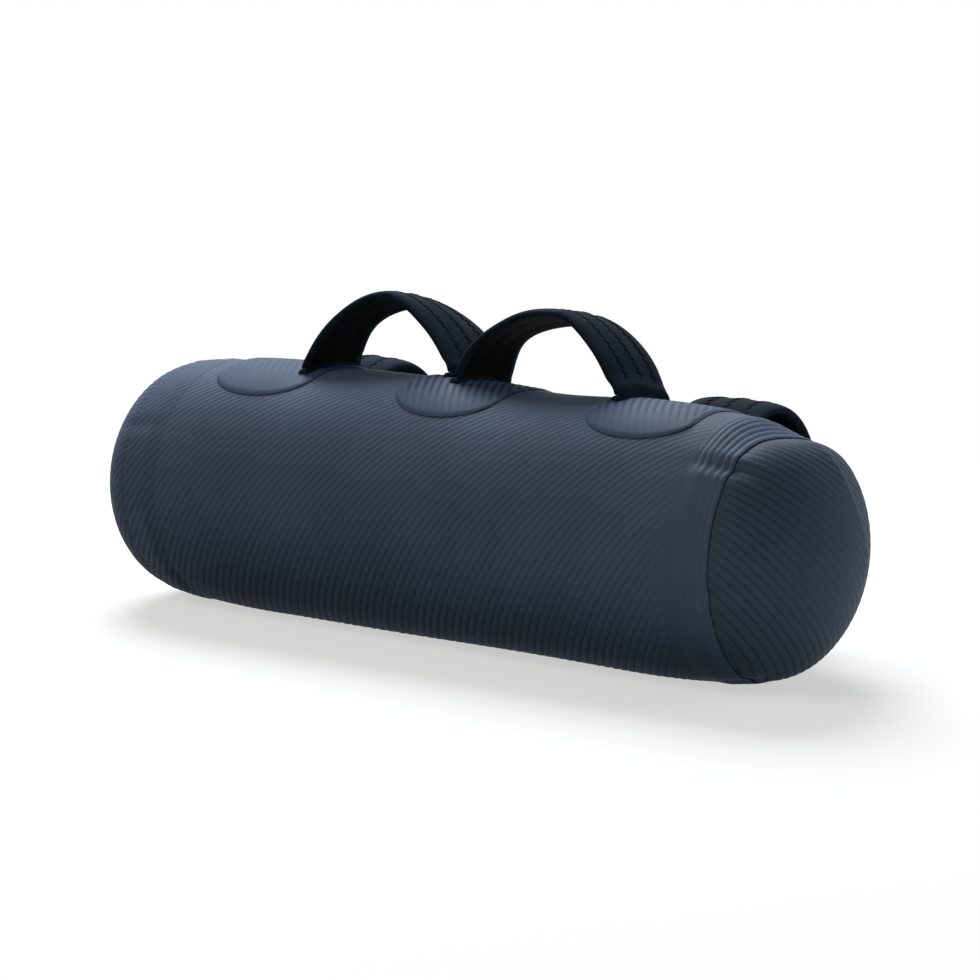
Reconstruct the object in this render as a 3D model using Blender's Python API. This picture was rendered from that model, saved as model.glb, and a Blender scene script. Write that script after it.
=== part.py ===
"""Aqua training bag: a coated-fabric tube with domed ends, four padded handles and a water valve.

Metres, +Z up. The origin is the middle of the flat patch that the filled bag rests on, +X runs
along the bag to the right-hand end, and +Y is the side that carries the two end handles.
"""

import math

import bmesh
import bpy
import numpy as np
from mathutils import Matrix, Vector

# Bag: a round tube that draws in towards two domed ends.
BAG_RADIUS = 0.105
SEAM_HALF_LENGTH = 0.2855
SHOULDER_LENGTH = 0.106
SHOULDER_DROP = 0.0076
DOME_DEPTH = 0.0606
DOME_POWER = 1.88
CAP_MIDDLE_RADIUS = 0.006
REST_HALF_WIDTH = 0.027
WALL = 0.0012
LAYER_GAP = 0.0003
CAP_SKIRT = 0.018
BAND_WIDTH = 0.035
BAND_THICKNESS = 0.0014
RING_POINTS = 36
SHOULDER_MIDDLE = 0.35
DOME_RINGS = 7
DOME_MIDDLE_MARGIN = 1.15
SHARP_ANGLE = math.radians(40.0)

# Water charge, up to a level above the bag's axis and clear of the wall and the valve.
WATER_LEVEL = 0.020
WATER_CLEARANCE = 0.0006
WATER_VALVE_CLEARANCE = 0.006

# Reinforcement patches, by centre along the bag and angles behind the top line.
PATCH_LIFT = 0.0005
PATCH_THICKNESS = 0.0012
PATCH_HALF_WIDTH = 0.0485
PATCH_TIP_DEPTH = math.radians(16.0)
PATCH_FRONT_ANGLE = math.radians(-35.0)
END_PATCH_INSET = 0.1005
END_PATCH_BACK_ANGLE = math.radians(130.0)
MIDDLE_PATCH_X = 0.002
MIDDLE_PATCH_BACK_ANGLE = math.radians(57.0)
PATCH_COLUMNS = 8
PATCH_STEP = math.radians(7.5)

# Handles: a padded sleeve over a webbing strap that rises from two hemmed feet.
GRIP_HALF_WIDTH = 0.038
GRIP_HALF_THICKNESS = 0.0035
GRIP_START = 0.0134
GRIP_CORNER = 0.009
GRIP_CROWN = 0.0022
GRIP_STATIONS = 12
WEBBING_HALF_WIDTH = 0.025
WEBBING_HALF_THICKNESS = 0.0010
WEBBING_CLEARANCE = 0.0005
WEBBING_SHARE = 0.6
FOOT_HALF_LENGTH = 0.0385
FOOT_HALF_THICKNESS = 0.0045
FOOT_HEIGHT = 0.0038
FOOT_END_HEIGHT = 0.0018
FOOT_BASE = 0.0012
FOOT_EDGE = 0.0014
FOOT_SLOT_CLEARANCE = 0.0006
FOOT_STATIONS = 6
SWING_AXIS_HEIGHT = 0.0030
CONFORM_LENGTH = 0.040
UPRIGHT_HEIGHT = 0.0038
SETTLE_HEIGHT = 0.0152
ARCH_SAMPLES = 400

# Top handles: each foot's place from the middle of the patch that carries it and its angle behind
# the top line. Each limb has its own fullness, and a toe by which its edges splay. A nod moves an
# arch's crown along the bag, and a lean moves it towards the back.
LEFT_TOP_OUTER_FOOT = (0.0337, math.radians(5.0))
LEFT_TOP_INNER_FOOT = (-0.0272, math.radians(21.0))
LEFT_TOP_HEIGHT = 0.0595
LEFT_TOP_OUTER_POWER = 1.80
LEFT_TOP_INNER_POWER = 1.64
LEFT_TOP_OUTER_TOE = 0.0055
LEFT_TOP_INNER_TOE = 0.0105
LEFT_TOP_NOD = -0.0032
LEFT_TOP_LEAN = 0.0030
RIGHT_TOP_INNER_FOOT = (-0.0083, math.radians(12.0))
RIGHT_TOP_OUTER_FOOT = (-0.0380, math.radians(13.0))
RIGHT_TOP_HEIGHT = 0.0574
RIGHT_TOP_INNER_POWER = 2.47
RIGHT_TOP_OUTER_POWER = 1.40
RIGHT_TOP_INNER_TOE = 0.0117
RIGHT_TOP_OUTER_TOE = 0.0033
RIGHT_TOP_NOD = 0.0163
RIGHT_TOP_LEAN = -0.0065

# End handles: they arch round the back of the bag, across its length.
END_HANDLE_HEIGHT = 0.0595
END_HANDLE_POWER = 1.85
END_HANDLE_HALF_SPAN = math.radians(33.0)
LEFT_END_ANGLE = math.radians(73.0)
RIGHT_END_ANGLE = math.radians(75.0)

# Valve, in a flat seat in the middle of the left end cap. Heights are measured out of the seat.
SEAT_RADIUS = 0.0270
VALVE_SEGMENTS = 24
STEM_SEGMENTS = 16
CAP_SEGMENTS = 36
ROD_SEGMENTS = 8
GASKET_THICKNESS = 0.0010
TETHER_THICKNESS = 0.0012
FLANGE_RADIUS = 0.0235
FLANGE_THICKNESS = 0.0026
BARREL_RADIUS = 0.0168
BARREL_BORE = 0.0130
BARREL_DEPTH = 0.0200
BARREL_CLEARANCE = 0.0006
NUT_RADIUS = 0.0245
NUT_THICKNESS = 0.0050
NUT_SIDES = 8
SPIDER_DEPTH = 0.0100
SPIDER_THICKNESS = 0.0025
SPIDER_PORTS = 5
SPIDER_PORT_RADIUS = 0.0030
HUB_RADIUS = 0.0042
HUB_EXTRA = 0.0020
STEM_RADIUS = 0.0020
STEM_CLEARANCE = 0.0003
BUTTON_RADIUS = 0.0050
BUTTON_THICKNESS = 0.0020
BUTTON_DEPTH = 0.0015
TIP_RADIUS = 0.0036
TIP_THICKNESS = 0.0016
POPPET_RADIUS = 0.0150
POPPET_THICKNESS = 0.0020
PLUNGER_TRAVEL = 0.0030
SPRING_WIRE_RADIUS = 0.00025
SPRING_RADIUS = 0.0031
SPRING_COILS = 4
SPRING_POINTS_PER_COIL = 8
CAP_GRIP_RADIUS = 0.0200
CAP_GRIP_THICKNESS = 0.0045
CAP_EDGE = 0.0008
CAP_PLUG_RADIUS = 0.0126
CAP_PLUG_REACH = 0.0050
CAP_FLUTES = 12
CAP_FLUTE_RADIUS = 0.0024
CAP_FLUTE_OFFSET = 0.0010
TETHER_RADIUS = 0.0180
TETHER_WIDTH = 0.0080
TETHER_REACH = 0.0260
TETHER_BEND_POINTS = 7

FABRIC = (0.075, 0.095, 0.125)
PATCH_FABRIC = (0.085, 0.105, 0.135)
CAP_FABRIC = (0.060, 0.078, 0.105)
GRIP_FOAM = (0.022, 0.026, 0.032)
WEBBING_BLACK = (0.015, 0.016, 0.019)
VALVE_PLASTIC = (0.030, 0.032, 0.036)
SEAL_RUBBER = (0.020, 0.020, 0.021)
SPRING_STEEL = (0.60, 0.61, 0.62)
WATER_BLUE = (0.35, 0.55, 0.65)

SEAM_RADIUS = BAG_RADIUS - SHOULDER_DROP
END_PATCH_X = SEAM_HALF_LENGTH - END_PATCH_INSET
REST_ANGLE = math.asin(REST_HALF_WIDTH / BAG_RADIUS)
AXIS_HEIGHT = BAG_RADIUS * math.cos(REST_ANGLE)
AXIS_POINT = np.array([0.0, 0.0, AXIS_HEIGHT])
X_AXIS = np.array([1.0, 0.0, 0.0])


def clear_scene():
    for old in list(bpy.data.objects):
        bpy.data.objects.remove(old, do_unlink=True)


def material(name, colour, roughness, metallic=0.0):
    made = bpy.data.materials.new(name)
    made.use_nodes = True
    shader = made.node_tree.nodes["Principled BSDF"]
    shader.inputs["Base Color"].default_value = (*colour, 1.0)
    shader.inputs["Roughness"].default_value = roughness
    shader.inputs["Metallic"].default_value = metallic
    return made


def mesh_object(name, points, faces, look, origin=(0.0, 0.0, 0.0), parent=None):
    """An object whose mesh is given in its parent's coordinates and stored about its own origin."""
    mesh = bpy.data.meshes.new(name)
    mesh.from_pydata([Vector(point) - Vector(origin) for point in points], [], faces)
    shaped = bmesh.new()
    shaped.from_mesh(mesh)
    bmesh.ops.recalc_face_normals(shaped, faces=shaped.faces)
    shaped.to_mesh(mesh)
    shaped.free()
    mesh.shade_smooth()
    mesh.set_sharp_from_angle(angle=SHARP_ANGLE)
    mesh.materials.append(look)
    made = bpy.data.objects.new(name, mesh)
    made.location = origin
    made.parent = parent
    bpy.context.scene.collection.objects.link(made)
    return made


def combine(target, other, operation):
    """A Boolean of one object with a helper, which is then left out of the model."""
    modifier = target.modifiers.new(f"{operation.lower()} {other.name}", "BOOLEAN")
    modifier.operation = operation
    modifier.solver = "EXACT"
    modifier.object = other
    other.hide_render = True
    other.display_type = "WIRE"


def skin_rings(rings, closed):
    """Faces between rings of equal length, either joined end to end or with a cap at each end."""
    count = len(rings[0])
    points = [point for ring in rings for point in ring]
    faces = []
    for index in range(len(rings) if closed else len(rings) - 1):
        low = index * count
        high = (index + 1) % len(rings) * count
        for step in range(count):
            after = (step + 1) % count
            faces.append((low + step, low + after, high + after, high + step))
    if not closed:
        last = (len(rings) - 1) * count
        faces.append(tuple(range(count)))
        faces.append(tuple(range(last, last + count)))
    return points, faces


def radial(angle):
    """Unit vector out of the bag, at an angle behind the top line."""
    return np.array([0.0, math.sin(angle), math.cos(angle)])


def around(angle):
    """Unit vector round the bag towards its back, at an angle behind the top line."""
    return np.array([0.0, math.cos(angle), -math.sin(angle)])


def wall_radius(x):
    """Outer radius of the tube wall, which draws in quadratically towards each seam."""
    bend = SEAM_HALF_LENGTH - SHOULDER_LENGTH
    share = min(max(abs(x) - bend, 0.0) / SHOULDER_LENGTH, 1.0)
    return BAG_RADIUS - (BAG_RADIUS - SEAM_RADIUS) * share**2


def patch_top(x):
    return wall_radius(x) + PATCH_LIFT + PATCH_THICKNESS


def shoulder_stations():
    """Distances from the bag's middle at which every layer of the shoulder has a ring."""
    bend = SEAM_HALF_LENGTH - SHOULDER_LENGTH
    return sorted(
        {
            bend,
            bend + SHOULDER_MIDDLE * SHOULDER_LENGTH,
            SEAM_HALF_LENGTH - BAND_WIDTH,
            SEAM_HALF_LENGTH - CAP_SKIRT,
            SEAM_HALF_LENGTH,
        }
    )


def bag_ring(x, radius):
    """Points round the bag. One straight chord at the bottom makes the resting flat."""
    angles = np.linspace(REST_ANGLE, 2 * math.pi - REST_ANGLE, RING_POINTS)
    return [AXIS_POINT + X_AXIS * x - radius * radial(angle) for angle in angles]


def round_ring(x, radius):
    """A plain circle about the bag's axis, with as many points as a bag ring."""
    angles = (np.arange(RING_POINTS) + 0.5) * 2 * math.pi / RING_POINTS
    return [AXIS_POINT + X_AXIS * x - radius * radial(angle) for angle in angles]


def build_barrel(look):
    right = shoulder_stations()
    stations = [-x for x in reversed(right)] + right
    outer = [bag_ring(x, wall_radius(x)) for x in stations]
    inner = [bag_ring(x, wall_radius(x) - WALL) for x in reversed(stations)]
    mesh_object("barrel_wall", *skin_rings(outer + inner, closed=True), look)


def build_band(name, side, look):
    stations = [x for x in shoulder_stations() if x >= SEAM_HALF_LENGTH - BAND_WIDTH]
    low = [bag_ring(side * x, wall_radius(x) + LAYER_GAP) for x in stations]
    high = [
        bag_ring(side * x, wall_radius(x) + LAYER_GAP + BAND_THICKNESS)
        for x in reversed(stations)
    ]
    mesh_object(name, *skin_rings(low + high, closed=True), look)


def dome_rise(radius, rim_radius=SEAM_RADIUS, depth=DOME_DEPTH):
    """How far a dome stands past its rim, at a radius from the bag's axis."""
    return depth * (1 - (radius / rim_radius) ** DOME_POWER) ** (1 / DOME_POWER)


def dome_line(rim_radius, depth, middle_radius):
    """(distance from the bag's middle, radius) from a dome's rim to the edge of its middle."""
    line = []
    for turn in np.linspace(0.0, math.pi / 2, DOME_RINGS):
        radius = rim_radius * max(math.cos(turn), 0.0) ** (2 / DOME_POWER)
        if radius > DOME_MIDDLE_MARGIN * middle_radius:
            rise = dome_rise(radius, rim_radius, depth)
            line.append((SEAM_HALF_LENGTH + LAYER_GAP + rise, radius))
    return line


def inner_dome_line(middle_radius):
    return dome_line(SEAM_RADIUS - 2 * WALL - LAYER_GAP, DOME_DEPTH - WALL, middle_radius)


def seat_distance(middle_radius):
    """Distance of a cap's flat middle from the middle of the bag."""
    return SEAM_HALF_LENGTH + LAYER_GAP + dome_rise(middle_radius)


def cap_rings(side, middle_radius):
    """Outer and inner rings of an end cap: a skirt inside the tube, a dome and a flat middle."""
    lap = WALL + LAYER_GAP
    start = SEAM_HALF_LENGTH - CAP_SKIRT
    skirt = [x for x in shoulder_stations() if start <= x < SEAM_HALF_LENGTH]
    outer = [bag_ring(side * x, wall_radius(x) - lap) for x in skirt]
    outer.append(bag_ring(side * (SEAM_HALF_LENGTH + LAYER_GAP), SEAM_RADIUS - lap))
    inner = [bag_ring(side * x, wall_radius(x) - lap - WALL) for x in skirt]
    dome = dome_line(SEAM_RADIUS, DOME_DEPTH, middle_radius)
    outer += [bag_ring(side * x, radius) for x, radius in dome]
    inner += [bag_ring(side * x, radius) for x, radius in inner_dome_line(middle_radius)]
    seat = seat_distance(middle_radius)
    outer.append(round_ring(side * seat, middle_radius))
    inner.append(round_ring(side * (seat - WALL), middle_radius))
    return outer, inner


def build_left_cap(look):
    outer, inner = cap_rings(-1, SEAT_RADIUS)
    hole = BARREL_RADIUS + BARREL_CLEARANCE
    seat = seat_distance(SEAT_RADIUS)
    outer.append(round_ring(-seat, hole))
    inner.append(round_ring(-(seat - WALL), hole))
    mesh_object("left_end_cap", *skin_rings(outer + inner[::-1], closed=True), look)


def build_right_cap(look):
    outer, inner = cap_rings(1, CAP_MIDDLE_RADIUS)
    mesh_object("right_end_cap", *skin_rings(inner[::-1] + outer, closed=False), look)


def build_water(look):
    """The water charge fills the bag up to its level and stops short of the valve."""
    lap = WALL + LAYER_GAP
    tube_end = SEAM_HALF_LENGTH - CAP_SKIRT - WATER_CLEARANCE
    tube = [(x, wall_radius(x) - WALL) for x in shoulder_stations() if x < tube_end]
    skirt = [
        (x, wall_radius(x) - lap - WALL)
        for x in [tube_end] + shoulder_stations()
        if x >= tube_end
    ]
    tube.append((tube_end - WATER_CLEARANCE, wall_radius(tube_end) - WALL))
    valve_depth = BARREL_DEPTH + POPPET_THICKNESS + PLUNGER_TRAVEL + WATER_VALVE_CLEARANCE
    left_end = seat_distance(SEAT_RADIUS) - valve_depth
    dome = inner_dome_line(CAP_MIDDLE_RADIUS)[1:]
    half = tube + skirt
    left_dome = [(x, radius) for x, radius in dome if x < left_end]
    line = [(-x, radius) for x, radius in reversed(half + left_dome)]
    line += half + dome
    rings = []
    for x, radius in line:
        ring = np.array(bag_ring(x, radius - WATER_CLEARANCE))
        ring[:, 2] = np.minimum(ring[:, 2], AXIS_HEIGHT + WATER_LEVEL)
        rings.append(ring)
    mesh_object("water_fill", *skin_rings(rings, closed=False), look)


def build_patch(name, centre, back_angle, look):
    """A strip welded over the wall, with rounded tips, made of one grid under another."""
    bearings = np.linspace(-math.pi / 2, math.pi / 2, PATCH_COLUMNS + 1)
    rows = math.ceil((back_angle - PATCH_FRONT_ANGLE) / PATCH_STEP)
    grids = []
    for height in (PATCH_LIFT, PATCH_LIFT + PATCH_THICKNESS):
        grid = []
        for row in range(rows + 1):
            line = []
            for bearing in bearings:
                tip = PATCH_TIP_DEPTH * (1 - math.cos(bearing))
                start = PATCH_FRONT_ANGLE + tip
                stop = back_angle - tip
                angle = start + (stop - start) * row / rows
                x = centre + PATCH_HALF_WIDTH * math.sin(bearing)
                line.append(AXIS_POINT + X_AXIS * x + radial(angle) * (wall_radius(x) + height))
            grid.append(line)
        grids.append(grid)
    low, high = grids
    rings = [low_line + high_line[::-1] for low_line, high_line in zip(low, high)]
    mesh_object(name, *skin_strip(rings), look)


def skin_strip(rings):
    """Faces of a flat strip whose rings run out along one side and back along the other."""
    points, faces = skin_rings(rings, closed=False)
    faces = faces[:-2]
    count = len(rings[0])
    for first in (0, (len(rings) - 1) * count):
        for step in range(count // 2 - 1):
            back = count - 1 - step
            faces.append((first + step, first + step + 1, first + back - 1, first + back))
    return points, faces


def eased(value, low, high):
    """A soft step from 0 at low to 1 at high."""
    share = np.clip((value - low) / (high - low), 0.0, 1.0)
    return share * share * (3 - 2 * share)


class Strap:
    """The middle line of a handle and the places round it, from its first foot to its second."""

    def __init__(self, feet, height, powers, across_bag, toes=(0.0, 0.0), nod=0.0, lean=0.0):
        (x0, angle0), (x1, angle1) = feet
        turns = np.linspace(0.0, math.pi, ARCH_SAMPLES)
        cosines = np.cos(turns)
        power = np.where(cosines > 0, 2 / powers[0], 2 / powers[1])
        lift = np.maximum(np.sin(turns), 0.0) ** power
        inwards = (1 - np.abs(cosines) ** power) * eased(height * lift, UPRIGHT_HEIGHT, SETTLE_HEIGHT)
        reach = np.sign(cosines) * (inwards - 1)
        self.across_bag = across_bag
        self.feet = feet
        self.x = (x0 + x1) / 2 + (x1 - x0) / 2 * reach + nod * lift**2
        self.angle = (angle0 + angle1) / 2 + (angle1 - angle0) / 2 * reach
        self.height = height * lift
        self.lean = lean * np.maximum(np.sin(turns), 0.0) ** 1.5
        self.toe = np.where(cosines > 0, -toes[0], toes[1]) * np.sin(2 * turns) ** 2
        self.back = around((angle0 + angle1) / 2)
        line = [self.place(*values) for values in zip(self.x, self.angle, self.height)]
        steps = np.linalg.norm(np.diff(line, axis=0), axis=1)
        self.run = np.concatenate([[0.0], np.cumsum(steps)])
        self.length = self.run[-1]

    def place(self, x, angle, height):
        return AXIS_POINT + X_AXIS * x + radial(angle) * (patch_top(x) + height)

    def middle(self, run):
        """Place, angle behind the top line and place along the bag at a run from the first foot."""
        x = float(np.interp(run, self.run, self.x))
        angle = float(np.interp(run, self.run, self.angle))
        height = float(np.interp(run, self.run, self.height))
        lean = float(np.interp(run, self.run, self.lean))
        return self.place(x, angle, height) + self.back * lean, angle, x

    def point(self, run, across, out):
        """A point of the strap: along it, across its width and out of its middle surface."""
        centre, angle, x = self.middle(run)
        reach = self.length / ARCH_SAMPLES
        ahead = self.middle(min(run + reach, self.length))[0]
        behind = self.middle(max(run - reach, 0.0))[0]
        side = around(angle) if self.across_bag else -X_AXIS
        normal = np.cross(ahead - behind, side)
        normal /= np.linalg.norm(normal)
        fade = 1 - eased(min(run, self.length - run), 0.0, CONFORM_LENGTH)
        top = patch_top(x)
        if self.across_bag:
            drop = top - math.sqrt(top**2 - across**2)
        else:
            drop = top - patch_top(x - across)
        share = across / GRIP_HALF_WIDTH
        rise = out - GRIP_CROWN * share**2 * (1 - fade)
        splay = X_AXIS * share * float(np.interp(run, self.run, self.toe))
        return centre + side * across + normal * rise + splay - radial(angle) * drop * fade

    def grip_run(self, station, inset=0.0):
        """Run of one of the sleeve's stations, which the webbing inside it shares."""
        start = GRIP_START + inset
        return start + (self.length - 2 * start) * station / GRIP_STATIONS

    def foot_point(self, foot, along, across, height):
        """A point of a foot, which follows the patch: along the strap's span and across it."""
        x, angle = self.feet[foot]
        if self.across_bag:
            return self.place(x + along, angle + across / patch_top(x), height)
        return self.place(x - across, angle + along / patch_top(x), height)

    def hinge(self):
        """Two points of the line through both feet that the handle swings about."""
        return [self.foot_point(foot, 0.0, 0.0, SWING_AXIS_HEIGHT) for foot in (0, 1)]


def grip_outline():
    """Outer and bore outlines of the padded sleeve, as (across, out), point for point."""
    wide, thick = GRIP_HALF_WIDTH, GRIP_HALF_THICKNESS
    bore = WEBBING_HALF_WIDTH + WEBBING_CLEARANCE
    slot = WEBBING_HALF_THICKNESS + WEBBING_CLEARANCE
    quarter = [(1.0, 0.0), (0.95, 0.80), (0.84, 1.0)]
    bore_quarter = [(1.0, 0.0), (1.0, 1.0), (WEBBING_SHARE, 1.0)]
    outlines = []
    for shape, width, depth in ((quarter, wide, thick), (bore_quarter, bore, slot)):
        top = shape + [(0.0, 1.0)] + [(-across, out) for across, out in reversed(shape)]
        bottom = [(across, -out) for across, out in reversed(top[1:-1])]
        outlines.append([(across * width, out * depth) for across, out in top + bottom])
    return outlines


def corner_run(across):
    """How far a sleeve's rounded corner sets its end back, across the width."""
    past = max(0.0, abs(across) - (GRIP_HALF_WIDTH - GRIP_CORNER))
    return GRIP_CORNER - math.sqrt(max(GRIP_CORNER**2 - past**2, 0.0))


def build_grip(name, strap, look, origin):
    rings = [[], []]
    for side, outline in enumerate(grip_outline()):
        for station in range(GRIP_STATIONS + 1):
            ring = []
            for across, out in outline:
                run = strap.grip_run(station, corner_run(across))
                ring.append(strap.point(run, across, out))
            rings[side].append(ring)
    outer, bore = rings
    mesh_object(name, *skin_rings(outer + bore[::-1], closed=True), look, origin)


def build_webbing(name, strap, look, origin):
    """The strap itself, from the floor of one foot's slot to the floor of the other's."""
    start = LAYER_GAP + FOOT_BASE + LAYER_GAP
    neck = LAYER_GAP + FOOT_HEIGHT + LAYER_GAP
    runs = [strap.grip_run(station) for station in range(GRIP_STATIONS + 1)]
    shares = (-1.0, -WEBBING_SHARE, 0.0, WEBBING_SHARE, 1.0)
    rings = []
    for run in (start, neck, *runs, strap.length - neck, strap.length - start):
        top = [
            strap.point(run, share * WEBBING_HALF_WIDTH, WEBBING_HALF_THICKNESS)
            for share in shares
        ]
        bottom = [
            strap.point(run, share * WEBBING_HALF_WIDTH, -WEBBING_HALF_THICKNESS)
            for share in reversed(shares)
        ]
        rings.append(top + bottom)
    mesh_object(name, *skin_strip(rings), look, origin)


def build_foot(name, strap, foot, look):
    """A hemmed foot on the patch: two lips with the webbing's slot between them."""
    slot = WEBBING_HALF_THICKNESS + FOOT_SLOT_CLEARANCE
    lip = FOOT_HALF_THICKNESS
    low = LAYER_GAP
    floor = low + FOOT_BASE
    rings = []
    for station in range(FOOT_STATIONS + 1):
        at_end = station in (0, FOOT_STATIONS)
        high = low + (FOOT_END_HEIGHT if at_end else FOOT_HEIGHT)
        section = [
            (-lip, low),
            (lip, low),
            (lip, high - FOOT_EDGE),
            ((lip + slot) / 2, high),
            (slot, high),
            (slot, floor),
            (-slot, floor),
            (-slot, high),
            (-(lip + slot) / 2, high),
            (-lip, high - FOOT_EDGE),
        ]
        across = FOOT_HALF_LENGTH * (2 * station / FOOT_STATIONS - 1)
        rings.append([strap.foot_point(foot, along, across, up) for along, up in section])
    mesh_object(name, *skin_rings(rings, closed=False), look)


def build_handle(name, strap, foot_names, grip_look, webbing_look):
    ends = strap.hinge()
    origin = tuple((ends[0] + ends[1]) / 2)
    build_grip(f"{name}_grip", strap, grip_look, origin)
    build_webbing(f"{name}_webbing", strap, webbing_look, origin)
    for foot, foot_name in enumerate(foot_names):
        build_foot(f"{name}_{foot_name}_foot", strap, foot, webbing_look)


def turned(name, profile, look, parent, segments=VALVE_SEGMENTS, outer_shape=None):
    """A closed profile of (radius, height) points turned about the parent's Z axis."""
    points = []
    rows = []
    for radius, height in profile:
        if radius == 0.0:
            rows.append([len(points)] * segments)
            points.append((0.0, 0.0, height))
            continue
        row = []
        for step in range(segments):
            angle = 2 * math.pi * step / segments
            reach = radius * (outer_shape(angle, radius) if outer_shape else 1.0)
            row.append(len(points))
            points.append((reach * math.cos(angle), reach * math.sin(angle), height))
        rows.append(row)
    faces = []
    for index, row in enumerate(rows):
        following = rows[(index + 1) % len(rows)]
        for step in range(segments):
            after = (step + 1) % segments
            corners = (row[step], row[after], following[after], following[step])
            face = tuple(dict.fromkeys(corners))
            if len(face) > 2:
                faces.append(face)
    return mesh_object(name, points, faces, look, parent=parent)


def rod_group(name, count, circle, radius, low, high, look, parent):
    """Upright rods spaced round a circle, used to cut ports and flutes."""
    points = []
    faces = []
    for copy in range(count):
        turn = 2 * math.pi * copy / count
        base = len(points)
        for height in (low, high):
            for step in range(ROD_SEGMENTS):
                angle = 2 * math.pi * step / ROD_SEGMENTS
                points.append(
                    (
                        circle * math.cos(turn) + radius * math.cos(angle),
                        circle * math.sin(turn) + radius * math.sin(angle),
                        height,
                    )
                )
        top = base + ROD_SEGMENTS
        for step in range(ROD_SEGMENTS):
            after = (step + 1) % ROD_SEGMENTS
            faces.append((base + step, base + after, top + after, top + step))
        faces.append(tuple(range(base, top)))
        faces.append(tuple(range(top, top + ROD_SEGMENTS)))
    return mesh_object(name, points, faces, look, parent=parent)


def valve_heights():
    """The stack of the valve above its seat, from the gasket up to the cap."""
    gasket = LAYER_GAP
    lower_ring = gasket + GASKET_THICKNESS + LAYER_GAP
    flange = lower_ring + TETHER_THICKNESS + LAYER_GAP
    upper_ring = flange + FLANGE_THICKNESS + LAYER_GAP
    cap = upper_ring + TETHER_THICKNESS + LAYER_GAP
    return gasket, lower_ring, flange, upper_ring, cap


def build_valve_base(frame, look):
    flange = valve_heights()[2]
    flange_top = flange + FLANGE_THICKNESS
    hole = STEM_RADIUS + STEM_CLEARANCE
    spider_low = -SPIDER_DEPTH - SPIDER_THICKNESS
    profile = [
        (hole, -SPIDER_DEPTH),
        (BARREL_BORE, -SPIDER_DEPTH),
        (BARREL_BORE, flange_top),
        (FLANGE_RADIUS - CAP_EDGE, flange_top),
        (FLANGE_RADIUS, flange_top - CAP_EDGE),
        (FLANGE_RADIUS, flange),
        (BARREL_RADIUS, flange),
        (BARREL_RADIUS, -BARREL_DEPTH),
        (BARREL_BORE, -BARREL_DEPTH),
        (BARREL_BORE, spider_low),
        (HUB_RADIUS, spider_low),
        (HUB_RADIUS, spider_low - HUB_EXTRA),
        (hole, spider_low - HUB_EXTRA),
    ]
    base = turned("valve_base", profile, look, frame)
    circle = (HUB_RADIUS + BARREL_BORE) / 2
    ports = rod_group(
        "spider_ports",
        SPIDER_PORTS,
        circle,
        SPIDER_PORT_RADIUS,
        spider_low - LAYER_GAP,
        -SPIDER_DEPTH + LAYER_GAP,
        look,
        frame,
    )
    combine(base, ports, "DIFFERENCE")


def build_ring(name, inner, outer, low, high, look, frame, outer_shape=None):
    profile = [(inner, low), (outer, low), (outer, high), (inner, high)]
    return turned(name, profile, look, frame, outer_shape=outer_shape)


def nut_shape(angle, radius):
    """Flats on a nut's outside; its bore stays round."""
    if radius < NUT_RADIUS:
        return 1.0
    sector = 2 * math.pi / NUT_SIDES
    return math.cos(sector / 2) / math.cos(angle % sector - sector / 2)


def build_plunger(frame, stem_look, seal_look):
    top = -BUTTON_DEPTH
    poppet_top = -BARREL_DEPTH - LAYER_GAP
    poppet_low = poppet_top - POPPET_THICKNESS
    tip_top = poppet_low - LAYER_GAP
    profile = [
        (0.0, top),
        (BUTTON_RADIUS - CAP_EDGE, top),
        (BUTTON_RADIUS, top - CAP_EDGE),
        (BUTTON_RADIUS, top - BUTTON_THICKNESS),
        (STEM_RADIUS, top - BUTTON_THICKNESS),
        (STEM_RADIUS, tip_top),
        (TIP_RADIUS, tip_top),
        (TIP_RADIUS, tip_top - TIP_THICKNESS),
        (0.0, tip_top - TIP_THICKNESS),
    ]
    turned("valve_stem", profile, stem_look, frame, segments=STEM_SEGMENTS)
    hole = STEM_RADIUS + STEM_CLEARANCE
    build_ring("valve_poppet", hole, POPPET_RADIUS, poppet_low, poppet_top, seal_look, frame)


def build_spring(frame, look):
    """A coil between the button and the spider, as one unbroken wire."""
    top = -BUTTON_DEPTH - BUTTON_THICKNESS - LAYER_GAP - SPRING_WIRE_RADIUS
    low = -SPIDER_DEPTH + LAYER_GAP + SPRING_WIRE_RADIUS
    count = SPRING_COILS * SPRING_POINTS_PER_COIL + 1
    curve = bpy.data.curves.new("valve_spring", "CURVE")
    curve.dimensions = "3D"
    curve.bevel_depth = SPRING_WIRE_RADIUS
    curve.bevel_resolution = 1
    curve.use_fill_caps = True
    spline = curve.splines.new("POLY")
    spline.points.add(count - 1)
    for index, point in enumerate(spline.points):
        angle = 2 * math.pi * index / SPRING_POINTS_PER_COIL
        height = top + (low - top) * index / (count - 1)
        point.co = (SPRING_RADIUS * math.cos(angle), SPRING_RADIUS * math.sin(angle), height, 1.0)
    curve.materials.append(look)
    made = bpy.data.objects.new("valve_spring", curve)
    made.parent = frame
    bpy.context.scene.collection.objects.link(made)


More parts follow.
